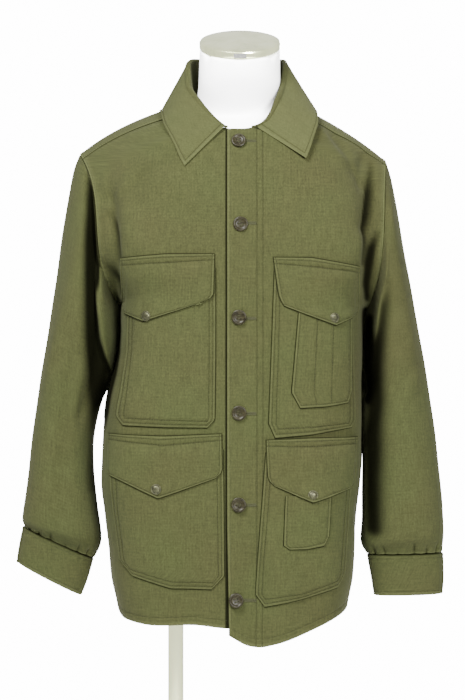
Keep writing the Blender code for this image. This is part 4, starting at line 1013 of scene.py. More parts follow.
FRONT_WIDE = 0.235      # half of the front along a row
FRONT_STEP, FRONT_STEP_ACROSS = 0.0046, 0.0032      # widest mesh of the grid, up and across
BAND_STITCH = (0, 0.0246), (0, 0.0332)      # two rows down the front beside the buttonholes
EDGE_STITCH = (0, 0.0047)                   # one row along the front edge
ARMHOLE_STITCH = (1, -0.0042), (1, -0.0110)
HEM_STITCH = (0, 0.0125)
SHOULDER_STITCH = (FORWARD_ROW, -0.0045)
RIDGE_HIGH = 0.0009     # how far a felled seam stands up beside the armhole
RIDGE_WIDE = 0.0065


def felled(marks, length):
    """Height of the seam that stands up along the far edge, at each grid line."""
    return RIDGE_HIGH * (1 - fade((length - lengths(marks, length) - RIDGE_WIDE) / 0.0022))


front_rows = fill_in(tucked(0, 1) + tucked(FORWARD_ROW, -1) + stitched(HEM_STITCH, SHOULDER_STITCH)
                     + [(NECK_ROW, 0), (UNDERARM_ROW, 0)], PANEL_TALL, FRONT_STEP)
v_rows = np.clip(lengths(front_rows, PANEL_TALL) / PANEL_TALL, 0, 1)
for side in (RIGHT, LEFT):
    word = WORDS[side]
    hem = f"front_{word}"
    band = BAND_LEFT if side == LEFT else BAND_RIGHT
    lines = list(BAND_STITCH) if side == LEFT else []
    beside = [] if side == LEFT else [(0, BAND_LEFT + d) for d in (-0.001, 0.0004, 0.0018, 0.0034)]
    columns = fill_in([(0, 0)] + beside + tucked(1, -1) + stitched(*lines, ARMHOLE_STITCH[0]),
                      FRONT_WIDE, FRONT_STEP_ACROSS)
    u = across_rows(lambda a, b: panel(side, "front", a, b, hem), v_rows, columns)
    v = np.broadcast_to(v_rows[:, None], u.shape)
    lift_c = groove(columns, lines + [ARMHOLE_STITCH[0]], FRONT_WIDE) + tuck(columns, FRONT_WIDE, 1)
    lift_r = (groove(front_rows, [HEM_STITCH, SHOULDER_STITCH], PANEL_TALL)
              + tuck(front_rows, PANEL_TALL, 0, FORWARD_ROW))
    lift = np.minimum(lift_c[None, :], lift_r[:, None])
    lift = lift + felled(columns, FRONT_WIDE)[None, :] * fade((v_rows - UNDERARM_ROW) / 0.01)[:, None]
    points = front_skin(side, u, v, lift)
    strip = fill_in([(0, 0)] + (stitched((0, band - EDGE_STITCH[1])) if side == LEFT else [])
                    + [(0, band), (0, band - 0.0008), (0, band - 0.0020)], 1, FRONT_STEP)
    top = int(np.searchsorted(v_rows, NECK_ROW + 1e-6))
    u_strip = across_rows(lambda a, b: panel(-side, "front", a, b, hem), v_rows[:top], strip)
    v_strip = np.broadcast_to(v_rows[:top, None], u_strip.shape)
    edge = lengths(strip, 1)
    drop = -0.0014 * np.exp(-((edge - band) / 0.0009) ** 2)
    if side == LEFT:
        drop = drop + groove(strip, [(0, band - EDGE_STITCH[1])], 1)
    strip_lift = np.minimum(drop[None, :], lift_r[:top, None])
    if side == RIGHT:
        strip_lift = strip_lift - under_layer(u_strip)
    strip_points = skin(-side, "front", hem, u_strip, v_strip, strip_lift)
    # Painted shade in the stitch grooves, the shoulder and armhole seams and the creases.
    groove_painted_shade = -groove(columns, lines, FRONT_WIDE) / GROOVE_DEEP * 0.35
    painted_shade = np.maximum(groove_painted_shade[None, :], seam_shade(front_rows, PANEL_TALL, FORWARD_ROW)[:, None])
    painted_shade = np.maximum(painted_shade, seam_shade(columns, FRONT_WIDE, 1)[None, :])
    # Painted shadow of the top front's edge, on the front underneath beside it.
    if side == RIGHT:
        past = lengths(columns, FRONT_WIDE) - BAND_LEFT
        painted_shade = np.maximum(painted_shade, (0.9 * fade((0.0036 - past) / 0.0024) * (v_rows[:, None] < NECK_ROW + 0.01)))
    painted_shade = np.maximum(painted_shade, shaded(front_crease(side, panel(side, "front", u, v, hem), u, v) * 1.5))
    sewn = np.maximum(near_lines(columns, lines + [ARMHOLE_STITCH[0]], FRONT_WIDE, SEWN_NEAR)[None, :],
                      near_lines(front_rows, [HEM_STITCH, SHOULDER_STITCH], PANEL_TALL, SEWN_NEAR)[:, None])
    rubbed = near_lines(front_rows, [(0, 0.001)], PANEL_TALL, WEAR_NEAR)[:, None] * 0.8
    rubbed = np.maximum(rubbed, near_lines(columns, [(1, -0.003)], FRONT_WIDE, WEAR_NEAR)[None, :] * 0.8)
    strip_rub = np.exp(-((edge - band) / WEAR_NEAR) ** 2)[None, :] * 0.8
    strip_sewn = np.exp(-((edge - band + EDGE_STITCH[1]) / SEWN_NEAR) ** 2)[None, :]
    # Painted shadow line along the band's turned edge.
    strip_painted_shade = 0.85 * np.exp(-((edge - band) / 0.0006) ** 4)[None, :] + 0 * v_strip
    sheets = [(points, chart(points, 0, side), rubbed, painted_shade, sewn),
              (strip_points, chart(strip_points, 0, -side), strip_rub, strip_painted_shade, strip_sewn)]
    turn_round = 0 if side == RIGHT else 1
    sheets[turn_round] = flipped(*sheets[turn_round])
    piece = cloth(f"{word}_front", sheets, CLOTH, [hem])
    out = grid_normals(points) * side
    strip_out = grid_normals(strip_points) * -side
    low = index_of(front_rows, *HEM_STITCH, PANEL_TALL)
    high = index_of(front_rows, *SHOULDER_STITCH, PANEL_TALL)
    paths = [seam_path(points, out, slice(low, high), index_of(columns, *ARMHOLE_STITCH[0], FRONT_WIDE)),
             seam_path(points, out, low, slice(0, -3)), seam_path(points, out, high, slice(0, -3))]
    if side == LEFT:
        for line in BAND_STITCH:
            paths.append(seam_path(points, out, slice(low, top - 2), index_of(columns, *line, FRONT_WIDE)))
        paths.append(seam_path(strip_points, strip_out, slice(low, top - 1),
                               index_of(strip, 0, band - EDGE_STITCH[1], 1)))
        paths.append(seam_path(strip_points, strip_out, low, slice(0, -3)))
    lay_stitches(f"{word}_front_stitches", paths)


# ---- Back and yoke ------------------------------------------------------------------------------
# One back panel hangs from a yoke that runs over both shoulders to the seams in front. The yoke's
# lower edge and its two shoulder seams lie over the other pieces and are stitched twice.
YOKE_ROW = 0.80         # share of the back's rows where the yoke seam lies
BACK_WIDE = 0.235
BACK_STEP, BACK_STEP_ACROSS = 0.0052, 0.0050
OVER_ROW = 2 - FORWARD_ROW      # the yoke's rows run on over the shoulder and down the fronts
YOKE_STITCH = (YOKE_ROW, 0.0048), (YOKE_ROW, 0.0108)
YOKE_FRONT = (OVER_ROW, -0.0022), (OVER_ROW, -0.0056)
YOKE_RAISE = 0.0008             # how far the yoke's turned edges lie over the other pieces
YOKE_DEEP = 0.4                 # how deep the back's yoke seam is, and how much painted shade it gets, as a share of the other seams
BACK_TOP = YOKE_ROW + 0.0008    # the back panel runs a little under the yoke


def over_shoulder(side, u, w, lift=None):
    """The back's outer surface up to the shoulder line (w = 1), and the front's beyond it."""
    v = np.where(w > 1, 2 - w, w)
    if lift is None:
        fore = panel(side, "front", u, v, f"front_{WORDS[side]}")
        rear = panel(side, "back", u, v, "back")
    else:
        fore = skin(side, "front", f"front_{WORDS[side]}", u, v, lift)
        rear = skin(side, "back", "back", u, v, lift)
    return np.where((w > 1)[..., None], fore, rear)


def back_piece(name, ends, row_lines, node):
    """A piece of the back between two rows, both halves in one sheet; ends are (row, way in)."""
    rows = fill_in([mark for share, sign in ends for mark in tucked(share, sign)] + stitched(*row_lines)
                   + ([(1, 0)] if ends[1][0] > 1 else []), PANEL_TALL, BACK_STEP)
    at = lengths(rows, PANEL_TALL)
    w_rows = at / PANEL_TALL
    columns = fill_in([(0, 0)] + tucked(1, -1) + stitched(ARMHOLE_STITCH[0]), BACK_WIDE, BACK_STEP_ACROSS)
    depth_r = groove(rows, row_lines, PANEL_TALL)
    for share, sign in ends:
        in_from_end = sign * (at - share * PANEL_TALL)
        deep = YOKE_DEEP if share == YOKE_ROW else 1
        depth_r = depth_r - deep * TUCK_DEEP * np.exp(-(in_from_end / TUCK_REACH) ** 2)
        if node == "yoke":
            depth_r = depth_r + YOKE_RAISE * (1 - fade((in_from_end - 0.012) / 0.006))
    depth_c = groove(columns, [ARMHOLE_STITCH[0]], BACK_WIDE) + tuck(columns, BACK_WIDE, 1)
    sheets, paths = [], []
    for side in (LEFT, RIGHT):
        u = across_rows(lambda a, b: over_shoulder(side, a, b), w_rows, columns)
        w = np.broadcast_to(w_rows[:, None], u.shape)
        lift = np.minimum(depth_c[None, :], depth_r[:, None]) + felled(columns, BACK_WIDE)[None, :]
        points = over_shoulder(side, u, w, lift)
        crest = np.exp(-((at - PANEL_TALL) / 0.012) ** 2)[1:-1, None, None]
        for _ in range(4):
            eased = (points[:-2] + 2 * points[1:-1] + points[2:]) / 4
            points[1:-1] += (eased - points[1:-1]) * crest
        out = grid_normals(points) * -side
        sewn = np.maximum(near_lines(columns, [ARMHOLE_STITCH[0]], BACK_WIDE, SEWN_NEAR)[None, :],
                          near_lines(rows, row_lines, PANEL_TALL, SEWN_NEAR)[:, None])
        worn = near_lines(rows, [(share, sign * 0.002) for share, sign in ends], PANEL_TALL, WEAR_NEAR)
        rubbed = np.maximum(near_lines(columns, [(1, -0.003)], BACK_WIDE, WEAR_NEAR)[None, :],
                            worn[:, None]) * 0.8
        places = chart(points, 0, side, bent=node == "yoke")
        # Painted shade in the yoke seam, the shoulder seams and the armhole seam.
        painted_shade = np.maximum((YOKE_DEEP * seam_shade(rows, PANEL_TALL, YOKE_ROW)
                           + seam_shade(rows, PANEL_TALL, OVER_ROW))[:, None],
                          seam_shade(columns, BACK_WIDE, 1)[None, :])
        if side == LEFT:
            points, places, rubbed, painted_shade, sewn, out = flipped(points, places, rubbed, painted_shade, sewn, out)
        sheets.append((points, places, rubbed, painted_shade, sewn))
        inner = slice(3, None) if side == LEFT else slice(0, -3)
        arm = index_of(columns, *ARMHOLE_STITCH[0], BACK_WIDE)
        arm = points.shape[1] - 1 - arm if side == LEFT else arm
        paths.append(seam_path(points, out, slice(3, -3), arm))
        for line in row_lines:
            paths.append(seam_path(points, out, index_of(rows, *line, PANEL_TALL), inner))
    piece = cloth(name, sheets, CLOTH, [node])
    lay_stitches(name + "_stitches", paths)


back_piece("back_panel", [(0, 1), (BACK_TOP, -1)], [HEM_STITCH], "back")
back_piece("yoke_panel", [(YOKE_ROW, 1), (OVER_ROW, -1)], list(YOKE_STITCH) + list(YOKE_FRONT), "yoke")


# ---- Sleeves ------------------------------------------------------------------------------------
# Two straight sleeves of the same cloth, set into the armholes with a seam stitched twice and
# gathered in small pleats into the cuffs. They hang empty, pressed flat by their own weight.
SLEEVE_LONG = 0.62
SLEEVE_ROUND = 0.47
GATHERS = 8             # half as many as there are pleats round a sleeve's end
GATHER_DEPTH = 0.0030
SLEEVE_STEP, SLEEVE_STEP_ROUND = 0.0042, 0.0029
SLEEVE_STITCH = (0, 0.0050)     # one row below the armhole's seam
SLEEVE_FOLD_ROW = "a0 t0 a1 t1 wide high"
# Soft folds: angle round the sleeve (90 outside, 180 front, 270 inside) and share of its length at both
# ends, half width and height.
SLEEVE_FOLDS = {
    RIGHT: table(SLEEVE_FOLD_ROW, [
        (205, 0.20, 212, 0.62, 0.016, -0.006),
        (165, 0.20, 140, 0.55, 0.020, 0.003),
        (20, 0.20, -20, 0.56, 0.022, -0.006),
        (30, 0.62, -40, 0.68, 0.020, -0.005),
        (305, 0.06, 305, 0.27, 0.030, 0.014)]),
    LEFT: table(SLEEVE_FOLD_ROW, [
        (150, 0.16, 150, 0.50, 0.020, 0.003),
        (235, 0.66, 150, 0.58, 0.014, 0.003),
        (20, 0.20, -20, 0.56, 0.022, -0.006),
        (30, 0.64, -40, 0.70, 0.020, -0.005),
        (305, 0.06, 300, 0.52, 0.030, 0.012)]),
}
# Creases of their fronts, as the fronts' own: paths in front view. The deep ones are where a sleeve
# rolls in beside the body.
SLEEVE_CREASES = {
    RIGHT: [
        [(-0.210, 1.319, -0.0030, 0.0075, 0.0037), (-0.205, 1.286, -0.0090, 0.0105, 0.0045),
         (-0.202, 1.254, -0.0130, 0.0120, 0.0045), (-0.201, 1.213, -0.0160, 0.0130, 0.0053),
         (-0.201, 1.165, -0.0170, 0.0130, 0.0053), (-0.200, 1.117, -0.0170, 0.0140, 0.0053),
         (-0.197, 1.069, -0.0180, 0.0160, 0.0060), (-0.194, 1.044, -0.0180, 0.0170, 0.0075),
         (-0.190, 1.020, -0.0180, 0.0180, 0.0100), (-0.194, 0.995, -0.0150, 0.0150, 0.0100),
         (-0.200, 0.962, -0.0080, 0.0120, 0.0090), (-0.204, 0.921, -0.0050, 0.0090, 0.0075),
         (-0.203, 0.848, -0.0040, 0.0090, 0.0075)],
        [(-0.192, 1.152, 0.0020, 0.0045, 0.0053), (-0.192, 1.111, 0.0040, 0.0045, 0.0060),
         (-0.191, 1.067, 0.0050, 0.0045, 0.0060), (-0.185, 1.041, 0.0040, 0.0060, 0.0060),
         (-0.179, 1.023, 0.0010, 0.0045, 0.0045)],
        [(-0.258, 1.126, 0.0012, 0.0180, 0.0180), (-0.264, 1.038, 0.0015, 0.0180, 0.0180)],
        [(-0.238, 1.082, -0.0012, 0.0180, 0.0135), (-0.249, 0.921, -0.0016, 0.0180, 0.0135),
         (-0.264, 0.804, -0.0010, 0.0135, 0.0135)],
    ],
    LEFT: [
        [(0.224, 1.219, 0.0020, 0.0045, 0.0045), (0.224, 1.190, 0.0040, 0.0053, 0.0045),
         (0.223, 1.159, 0.0050, 0.0060, 0.0045), (0.216, 1.120, 0.0050, 0.0060, 0.0045),
         (0.212, 1.086, 0.0040, 0.0053, 0.0045), (0.208, 1.052, 0.0020, 0.0045, 0.0045)],
        [(0.224, 1.149, -0.0030, 0.0037, 0.0105), (0.219, 1.117, -0.0070, 0.0037, 0.0120),
         (0.214, 1.069, -0.0080, 0.0045, 0.0135), (0.211, 1.020, -0.0080, 0.0053, 0.0135),
         (0.209, 0.979, -0.0090, 0.0120, 0.0165), (0.206, 0.935, -0.0090, 0.0120, 0.0180),
         (0.205, 0.862, -0.0080, 0.0120, 0.0180), (0.207, 0.789, -0.0080, 0.0120, 0.0150)],
        [(0.203, 1.100, -0.0100, 0.0060, 0.0060), (0.203, 1.060, -0.0140, 0.0060, 0.0075),
         (0.200, 1.010, -0.0140, 0.0060, 0.0075), (0.198, 0.980, -0.0090, 0.0060, 0.0060)],
        [(0.251, 1.181, -0.0014, 0.0090, 0.0075), (0.261, 1.167, 0.0015, 0.0090, 0.0090),
         (0.264, 1.137, 0.0010, 0.0120, 0.0090)],
        [(0.245, 1.082, 0.0014, 0.0180, 0.0180), (0.257, 0.935, 0.0016, 0.0180, 0.0180)],
        [(0.239, 1.199, -0.0012, 0.0150, 0.0120), (0.248, 1.126, -0.0012, 0.0150, 0.0120)],
    ],
}


def sleeve_crease(side, share, angle, points):
    """Height of a sleeve's sharp creases at points of its surface."""
    facing = fade(0.25 - 1.25 * np.cos(np.radians(angle)))
    height = crease_height(SLEEVE_CREASES[side], points[..., 0], points[..., 2])
    return 1.3 * height * facing * fade(share / 0.006) * fade((1 - share) / 0.03)


def gathers(share, angle):
    """The small pleats above a cuff, from -1 in the sharp valleys to 0.2 between them."""
    turn = np.radians(angle)
    pleats = 1.2 * np.abs(np.cos(turn * GATHERS + 0.6 * np.sin(turn * 2))) ** 0.6 - 1
    return pleats * fade((share - 0.93 + 0.025 * np.sin(turn * 7)) / 0.06)


def sleeve_skin(side, share, angle, lift=0.0):
    """A sleeve's outer surface with its folds and the gathers above the cuff."""
    def plain(a, b):
        return ring(SLEEVE[side], np.clip(a, 0, 1), b, side)
    points = plain(share, angle)
    e = 1e-3
    along = plain(share + e, angle) - plain(share - e, angle)
    around = plain(share, angle + 1) - plain(share, angle - 1)
    out = np.cross(around, along) * side
    out /= np.maximum(np.linalg.norm(out, axis=-1, keepdims=True), 1e-12)
    arc = 0.075 * np.radians(1)
    folds = dict(SLEEVE_FOLDS[side])
    for column, unit in (("a0", arc), ("a1", arc), ("t0", SLEEVE_LONG), ("t1", SLEEVE_LONG)):
        folds[column] = folds[column] * unit
    height = 0
    for turn in (-360, 0, 360):
        height = height + fold_height(folds, (angle + turn) * arc, share * SLEEVE_LONG)
    height = height * fade(share / 0.07) * fade((1 - share) / 0.05)
    height = height + sway(points) * fade(share / 0.05) * fade((1 - share) / 0.05)
    uneven = 1 + 0.35 * np.sin(np.radians(angle) * 3 + 1.1) + 0.25 * np.sin(np.radians(angle) * 5)
    height = height + GATHER_DEPTH * uneven * gathers(share, angle) * (1 - 0.5 * fade((share - 0.99) / 0.01))
    crease = sleeve_crease(side, share, angle, points)
    return points + out * (height + lift)[..., None] - stack(0, crease, 0 * share)


sleeve_rows = fill_in(tucked(0, 1) + tucked(1, -1) + stitched(SLEEVE_STITCH), SLEEVE_LONG, SLEEVE_STEP)
sleeve_share = np.clip(lengths(sleeve_rows, SLEEVE_LONG) / SLEEVE_LONG, 0, 1)
seam_columns = fill_in(tucked(0, 1) + tucked(1, -1), SLEEVE_ROUND, SLEEVE_STEP_ROUND)
seam_angle = 270 + 360 * lengths(seam_columns, SLEEVE_ROUND) / SLEEVE_ROUND
for side in (RIGHT, LEFT):
    word = WORDS[side]
    angle, share = np.meshgrid(seam_angle, sleeve_share)
    depth_r = (groove(sleeve_rows, [SLEEVE_STITCH], SLEEVE_LONG) + tuck(sleeve_rows, SLEEVE_LONG, 0)
               + 0.4 * tuck(sleeve_rows, SLEEVE_LONG, 1))
    depth_c = tuck(seam_columns, SLEEVE_ROUND, 0, 1) * 0.6
    points = sleeve_skin(side, share, angle, np.minimum(depth_c[None, :], depth_r[:, None]))
    out = grid_normals(points)
    out *= np.sign((out * (points - points.mean(axis=1, keepdims=True))).sum())
    sewn = near_lines(sleeve_rows, [SLEEVE_STITCH, (1, 0)], SLEEVE_LONG, SEWN_NEAR)[:, None]
    rubbed = near_lines(sleeve_rows, [(0, 0.0025), (1, -0.0025)], SLEEVE_LONG, WEAR_NEAR)[:, None] * 0.7
    crease = sleeve_crease(side, share, angle, ring(SLEEVE[side], share, angle, side))
    # Painted shade in the armhole and cuff seams, in the deep creases and in the valleys of the gathers.
    seam = seam_shade(sleeve_rows, SLEEVE_LONG, 0) + 0.6 * seam_shade(sleeve_rows, SLEEVE_LONG, 1)
    painted_shade = np.maximum(seam[:, None], shaded(crease))
    painted_shade = np.maximum(painted_shade, 0.7 * fade(-0.2 - gathers(share, angle)))
    piece = cloth(f"{word}_sleeve", [(points, chart(points, 0, side, True), rubbed, painted_shade, sewn)], CLOTH,
                  [f"sleeve_{word}"], flip=side == RIGHT)
    lay_stitches(f"{word}_sleeve_stitches",
                 [seam_path(points, out, index_of(sleeve_rows, *SLEEVE_STITCH, SLEEVE_LONG))])


# ---- Cuffs --------------------------------------------------------------------------------------
# Straight cuffs of two layers, lapped at the outer side and closed with one small button. They are
# stitched along both edges and along the end that laps over.
DOUBLE = 0.0024         # thickness of two layers sewn together
CUFF = {
    RIGHT: table(SLEEVE_ROW, [
        (0.3102, 0.7905, 0.2066, 0.7428, -0.022, 0.0340, 2.3, 0, 0),
        (0.3165, 0.7580, 0.2160, 0.7120, -0.022, 0.0300, 2.3, 0, 0),
        (0.3197, 0.7366, 0.2250, 0.6880, -0.022, 0.0265, 2.2, 0, 0)]),
    LEFT: table(SLEEVE_ROW, [
        (0.3120, 0.7513, 0.2002, 0.7488, -0.022, 0.0340, 2.3, 0, 0),
        (0.3125, 0.7180, 0.2060, 0.7150, -0.022, 0.0300, 2.3, 0, 0),
        (0.3110, 0.6905, 0.2100, 0.6880, -0.022, 0.0265, 2.2, 0, 0)]),
}
CUFF_TALL = 0.058
CUFF_ROUND = 0.265
CUFF_STITCH = (0, 0.0050), (1, -0.0060)
LAP_ANGLE = 100         # where the lapped end shows, between the outer side (90) and the front (180)
LAP_AT = (LAP_ANGLE + 90) / 360
LAP_HIGH = 0.0020
LAP_STITCH = (LAP_AT, -0.0050)

cuff_rows = fill_in(tucked(0, 1) + [(1, 0), (1, -0.0007), (1, -0.0018)] + stitched(*CUFF_STITCH),
                    CUFF_TALL, 0.0040)
cuff_share = np.clip(lengths(cuff_rows, CUFF_TALL) / CUFF_TALL, 0, 1)
cuff_columns = fill_in([(0, 0), (1, 0), (LAP_AT, 0), (LAP_AT, 0.0006), (LAP_AT, -0.0006), (LAP_AT, -0.0016)]
                       + stitched(LAP_STITCH), CUFF_ROUND, 0.0044)
cuff_angle = 270 + 360 * lengths(cuff_columns, CUFF_ROUND) / CUFF_ROUND
for side in (RIGHT, LEFT):
    word = WORDS[side]
    angle, share = np.meshgrid(cuff_angle, cuff_share)
    at = lengths(cuff_columns, CUFF_ROUND) - LAP_AT * CUFF_ROUND
    lap = LAP_HIGH * (1 - fade((at + 0.0004) / 0.0008)) * fade((at + 0.10) / 0.08)
    depth_c = lap + groove(cuff_columns, [LAP_STITCH], CUFF_ROUND)
    depth_r = groove(cuff_rows, CUFF_STITCH, CUFF_TALL) + 0.4 * tuck(cuff_rows, CUFF_TALL, 0)
    depth_r = depth_r - 0.0012 * np.exp(-((lengths(cuff_rows, CUFF_TALL) - CUFF_TALL) / 0.0009) ** 2)
    plain = ring(CUFF[side], share, angle, side)
    out = grid_normals(plain)
    out *= np.sign((out * (plain - plain.mean(axis=1, keepdims=True))).sum())
    points = plain + out * (depth_c[None, :] + depth_r[:, None] + 0.6 * sway(plain))[..., None]
    points[:, -1] = points[:, 0]
    sewn = np.maximum(near_lines(cuff_rows, CUFF_STITCH, CUFF_TALL, SEWN_NEAR)[:, None],
                      near_lines(cuff_columns, [LAP_STITCH], CUFF_ROUND, SEWN_NEAR)[None, :])
    rubbed = np.maximum(near_lines(cuff_rows, [(1, -0.001)], CUFF_TALL, WEAR_NEAR)[:, None],
                        near_lines(cuff_columns, [(LAP_AT, -0.001)], CUFF_ROUND, 0.002)[None, :]) * 0.8
    # Painted shade in the seam to the sleeve and along the lapped end's edge.
    painted_shade = np.maximum(0.6 * seam_shade(cuff_rows, CUFF_TALL, 0)[:, None],
                      0.4 * np.exp(-(at / 0.0009) ** 4)[None, :])
    piece = cloth(f"{word}_cuff", [(points, chart(points, 0, side), rubbed, painted_shade, sewn)], DOUBLE,
                  [f"cuff_{word}"], flip=side == RIGHT)
    low = index_of(cuff_rows, *CUFF_STITCH[1], CUFF_TALL)
    high = index_of(cuff_rows, *CUFF_STITCH[0], CUFF_TALL)
    lap_column = index_of(cuff_columns, *LAP_STITCH, CUFF_ROUND)
    lay_stitches(f"{word}_cuff_stitches",
                 [seam_path(points, out, low), seam_path(points, out, high),
                  seam_path(points, out, slice(high, low), lap_column)])


# ---- Pockets and flaps --------------------------------------------------------------------------
# Four patch pockets with cut-off lower corners, two smaller ones sewn on those of the left front, and
# four pointed flaps of two layers. Each is stitched twice round the edges that are sewn down, but for
# the two small pockets, which are stitched once.
PATCH_ROW = "xa za xm zm xb zb"
POCKET_BULGE = 0.0030
CHEST_POCKET = {
    RIGHT: [(-0.0360, 0.9400, -0.0980, 0.9405, -0.1560, 0.9430),
            (-0.0245, 0.9520, -0.0980, 0.9550, -0.1680, 0.9580),
            (-0.0235, 1.0500, -0.0980, 1.0500, -0.1540, 1.0500),
            (-0.0235, 1.1700, -0.0980, 1.1700, -0.1500, 1.1680)],
    LEFT: [(0.0610, 0.9250, 0.1150, 0.9300, 0.1720, 0.9400),
           (0.0510, 0.9470, 0.1150, 0.9480, 0.1790, 0.9520),
           (0.0550, 1.0500, 0.1150, 1.0500, 0.1760, 1.0500),
           (0.0590, 1.1660, 0.1150, 1.1680, 0.1740, 1.1600)]}
LOWER_POCKET = {
    RIGHT: [(-0.0300, 0.7080, -0.0880, 0.7090, -0.1430, 0.7260),
            (-0.0110, 0.7280, -0.0880, 0.7300, -0.1640, 0.7500),
            (-0.0115, 0.8200, -0.0950, 0.8200, -0.1740, 0.8260),
            (-0.0125, 0.9100, -0.0950, 0.9140, -0.1760, 0.9140)],
    LEFT: [(0.0465, 0.6830, 0.1000, 0.6940, 0.1510, 0.7080),
           (0.0325, 0.7020, 0.1000, 0.7080, 0.1640, 0.7300),
           (0.0390, 0.8000, 0.1050, 0.8040, 0.1700, 0.8200),
           (0.0470, 0.9060, 0.1120, 0.9090, 0.1770, 0.9090)]}
PENCIL_POCKET = [(0.0960, 0.9680, 0.1280, 0.9700, 0.1640, 0.9760),
                 (0.0830, 0.9920, 0.1260, 0.9920, 0.1700, 0.9940),
                 (0.0930, 1.1060, 0.1300, 1.1060, 0.1700, 1.1060)]
SMALL_POCKET = [(0.0800, 0.7660, 0.1040, 0.7660, 0.1290, 0.7700),
                (0.0715, 0.7720, 0.1050, 0.7760, 0.1365, 0.7860),
                (0.0750, 0.8430, 0.1060, 0.8430, 0.1390, 0.8430)]
CHEST_FLAP = {
    RIGHT: [(-0.0480, 1.1190, -0.1240, 1.0925, -0.1560, 1.1060),
            (-0.0260, 1.1330, -0.1240, 1.1080, -0.1600, 1.1200),
            (-0.0250, 1.1910, -0.0960, 1.1910, -0.1615, 1.1860)],
    LEFT: [(0.0730, 1.1150, 0.1440, 1.0870, 0.1800, 1.1050),
           (0.0655, 1.1300, 0.1440, 1.1040, 0.1840, 1.1200),
           (0.0575, 1.1860, 0.1120, 1.1860, 0.1830, 1.1740)]}
LOWER_FLAP = {
    RIGHT: [(-0.0240, 0.8680, -0.1060, 0.8390, -0.1720, 0.8710),
            (-0.0140, 0.8820, -0.1060, 0.8560, -0.1780, 0.8860),
            (-0.0150, 0.9330, -0.1000, 0.9300, -0.1800, 0.9320)],
    LEFT: [(0.0600, 0.8570, 0.1140, 0.8330, 0.1700, 0.8530),
           (0.0500, 0.8700, 0.1140, 0.8500, 0.1790, 0.8680),
           (0.0475, 0.9240, 0.1120, 0.9270, 0.1810, 0.9270)]}


def locate(side, x, z):
    """Where on a front the point (x, z) of the front view lies, as u and v."""
    def flat(a, b):
        return panel(side, "front", a, b, f"front_{WORDS[side]}")[..., [0, 2]]
    u = np.clip((x * side + 0.01) / 0.20, 0.05, 0.95)
    v = np.clip((z - HEM_LEVEL) / (UNDERARM_LEVEL - HEM_LEVEL) * UNDERARM_ROW, 0.02, 0.98)
    e = 1e-3
    for _ in range(9):
        at = flat(u, v)
        by_u, by_v = (flat(u + e, v) - at) / e, (flat(u, v + e) - at) / e
        miss = np.stack([x, z], axis=-1) - at
        det = by_u[..., 0] * by_v[..., 1] - by_u[..., 1] * by_v[..., 0]
        det = np.where(np.abs(det) < 1e-4, 1e-4, det)
        du = (miss[..., 0] * by_v[..., 1] - miss[..., 1] * by_v[..., 0]) / det
        dv = (by_u[..., 0] * miss[..., 1] - by_u[..., 1] * miss[..., 0]) / det
        u = np.clip(u + np.clip(du, -0.1, 0.1), 0.0, 0.985)
        v = np.clip(v + np.clip(dv, -0.1, 0.1), 0.0, 0.985)
    return u, v


def outer_tree(*names):
    """Search tree of the named pieces."""
    points, faces, count = [], [], 0
    for name in names:
        mesh = bpy.data.objects[name].data
        points += [v.co.copy() for v in mesh.vertices]
        faces += [[i + count for i in p.vertices] for p in mesh.polygons]
        count = len(points)
    return BVHTree.FromPolygons(points, faces)


def clear_of(tree, points, out, gap, reach=0.012, turns=4):
    """Move points out along their normals until they stand gap above the pieces of the tree, which
    are looked for within reach, and let each push ease its neighbours along too."""
    points = points.copy()
    for _ in range(turns):
        short = np.zeros(points.shape[:2])
        for r in range(points.shape[0]):
            for c in range(points.shape[1]):
                start = Vector(points[r, c] + out[r, c] * reach)
                hit, _, _, distance = tree.ray_cast(start, Vector(-out[r, c]), reach + 0.02)
                if hit is not None:
                    short[r, c] = max(0.0, reach - distance + gap)
        if short.max() < 0.00005:
            break
        eased = short.copy()
        for _ in range(2):
            padded = np.pad(eased, 1, mode="edge")
            eased = np.maximum(short, (padded[:-2, 1:-1] + padded[2:, 1:-1] + padded[1:-1, :-2]
                                       + padded[1:-1, 2:] + 2 * eased) / 6)
        points += out * eased[..., None]
    return points


PATCH_EDGE = 0.0011     # how far a turned edge rolls down to the cloth below it
EDGE_LINES = (0, 0.0007, 0.0017)
CUT_TURNING = 0.020     # turnings that a patch's cut has over its width and height


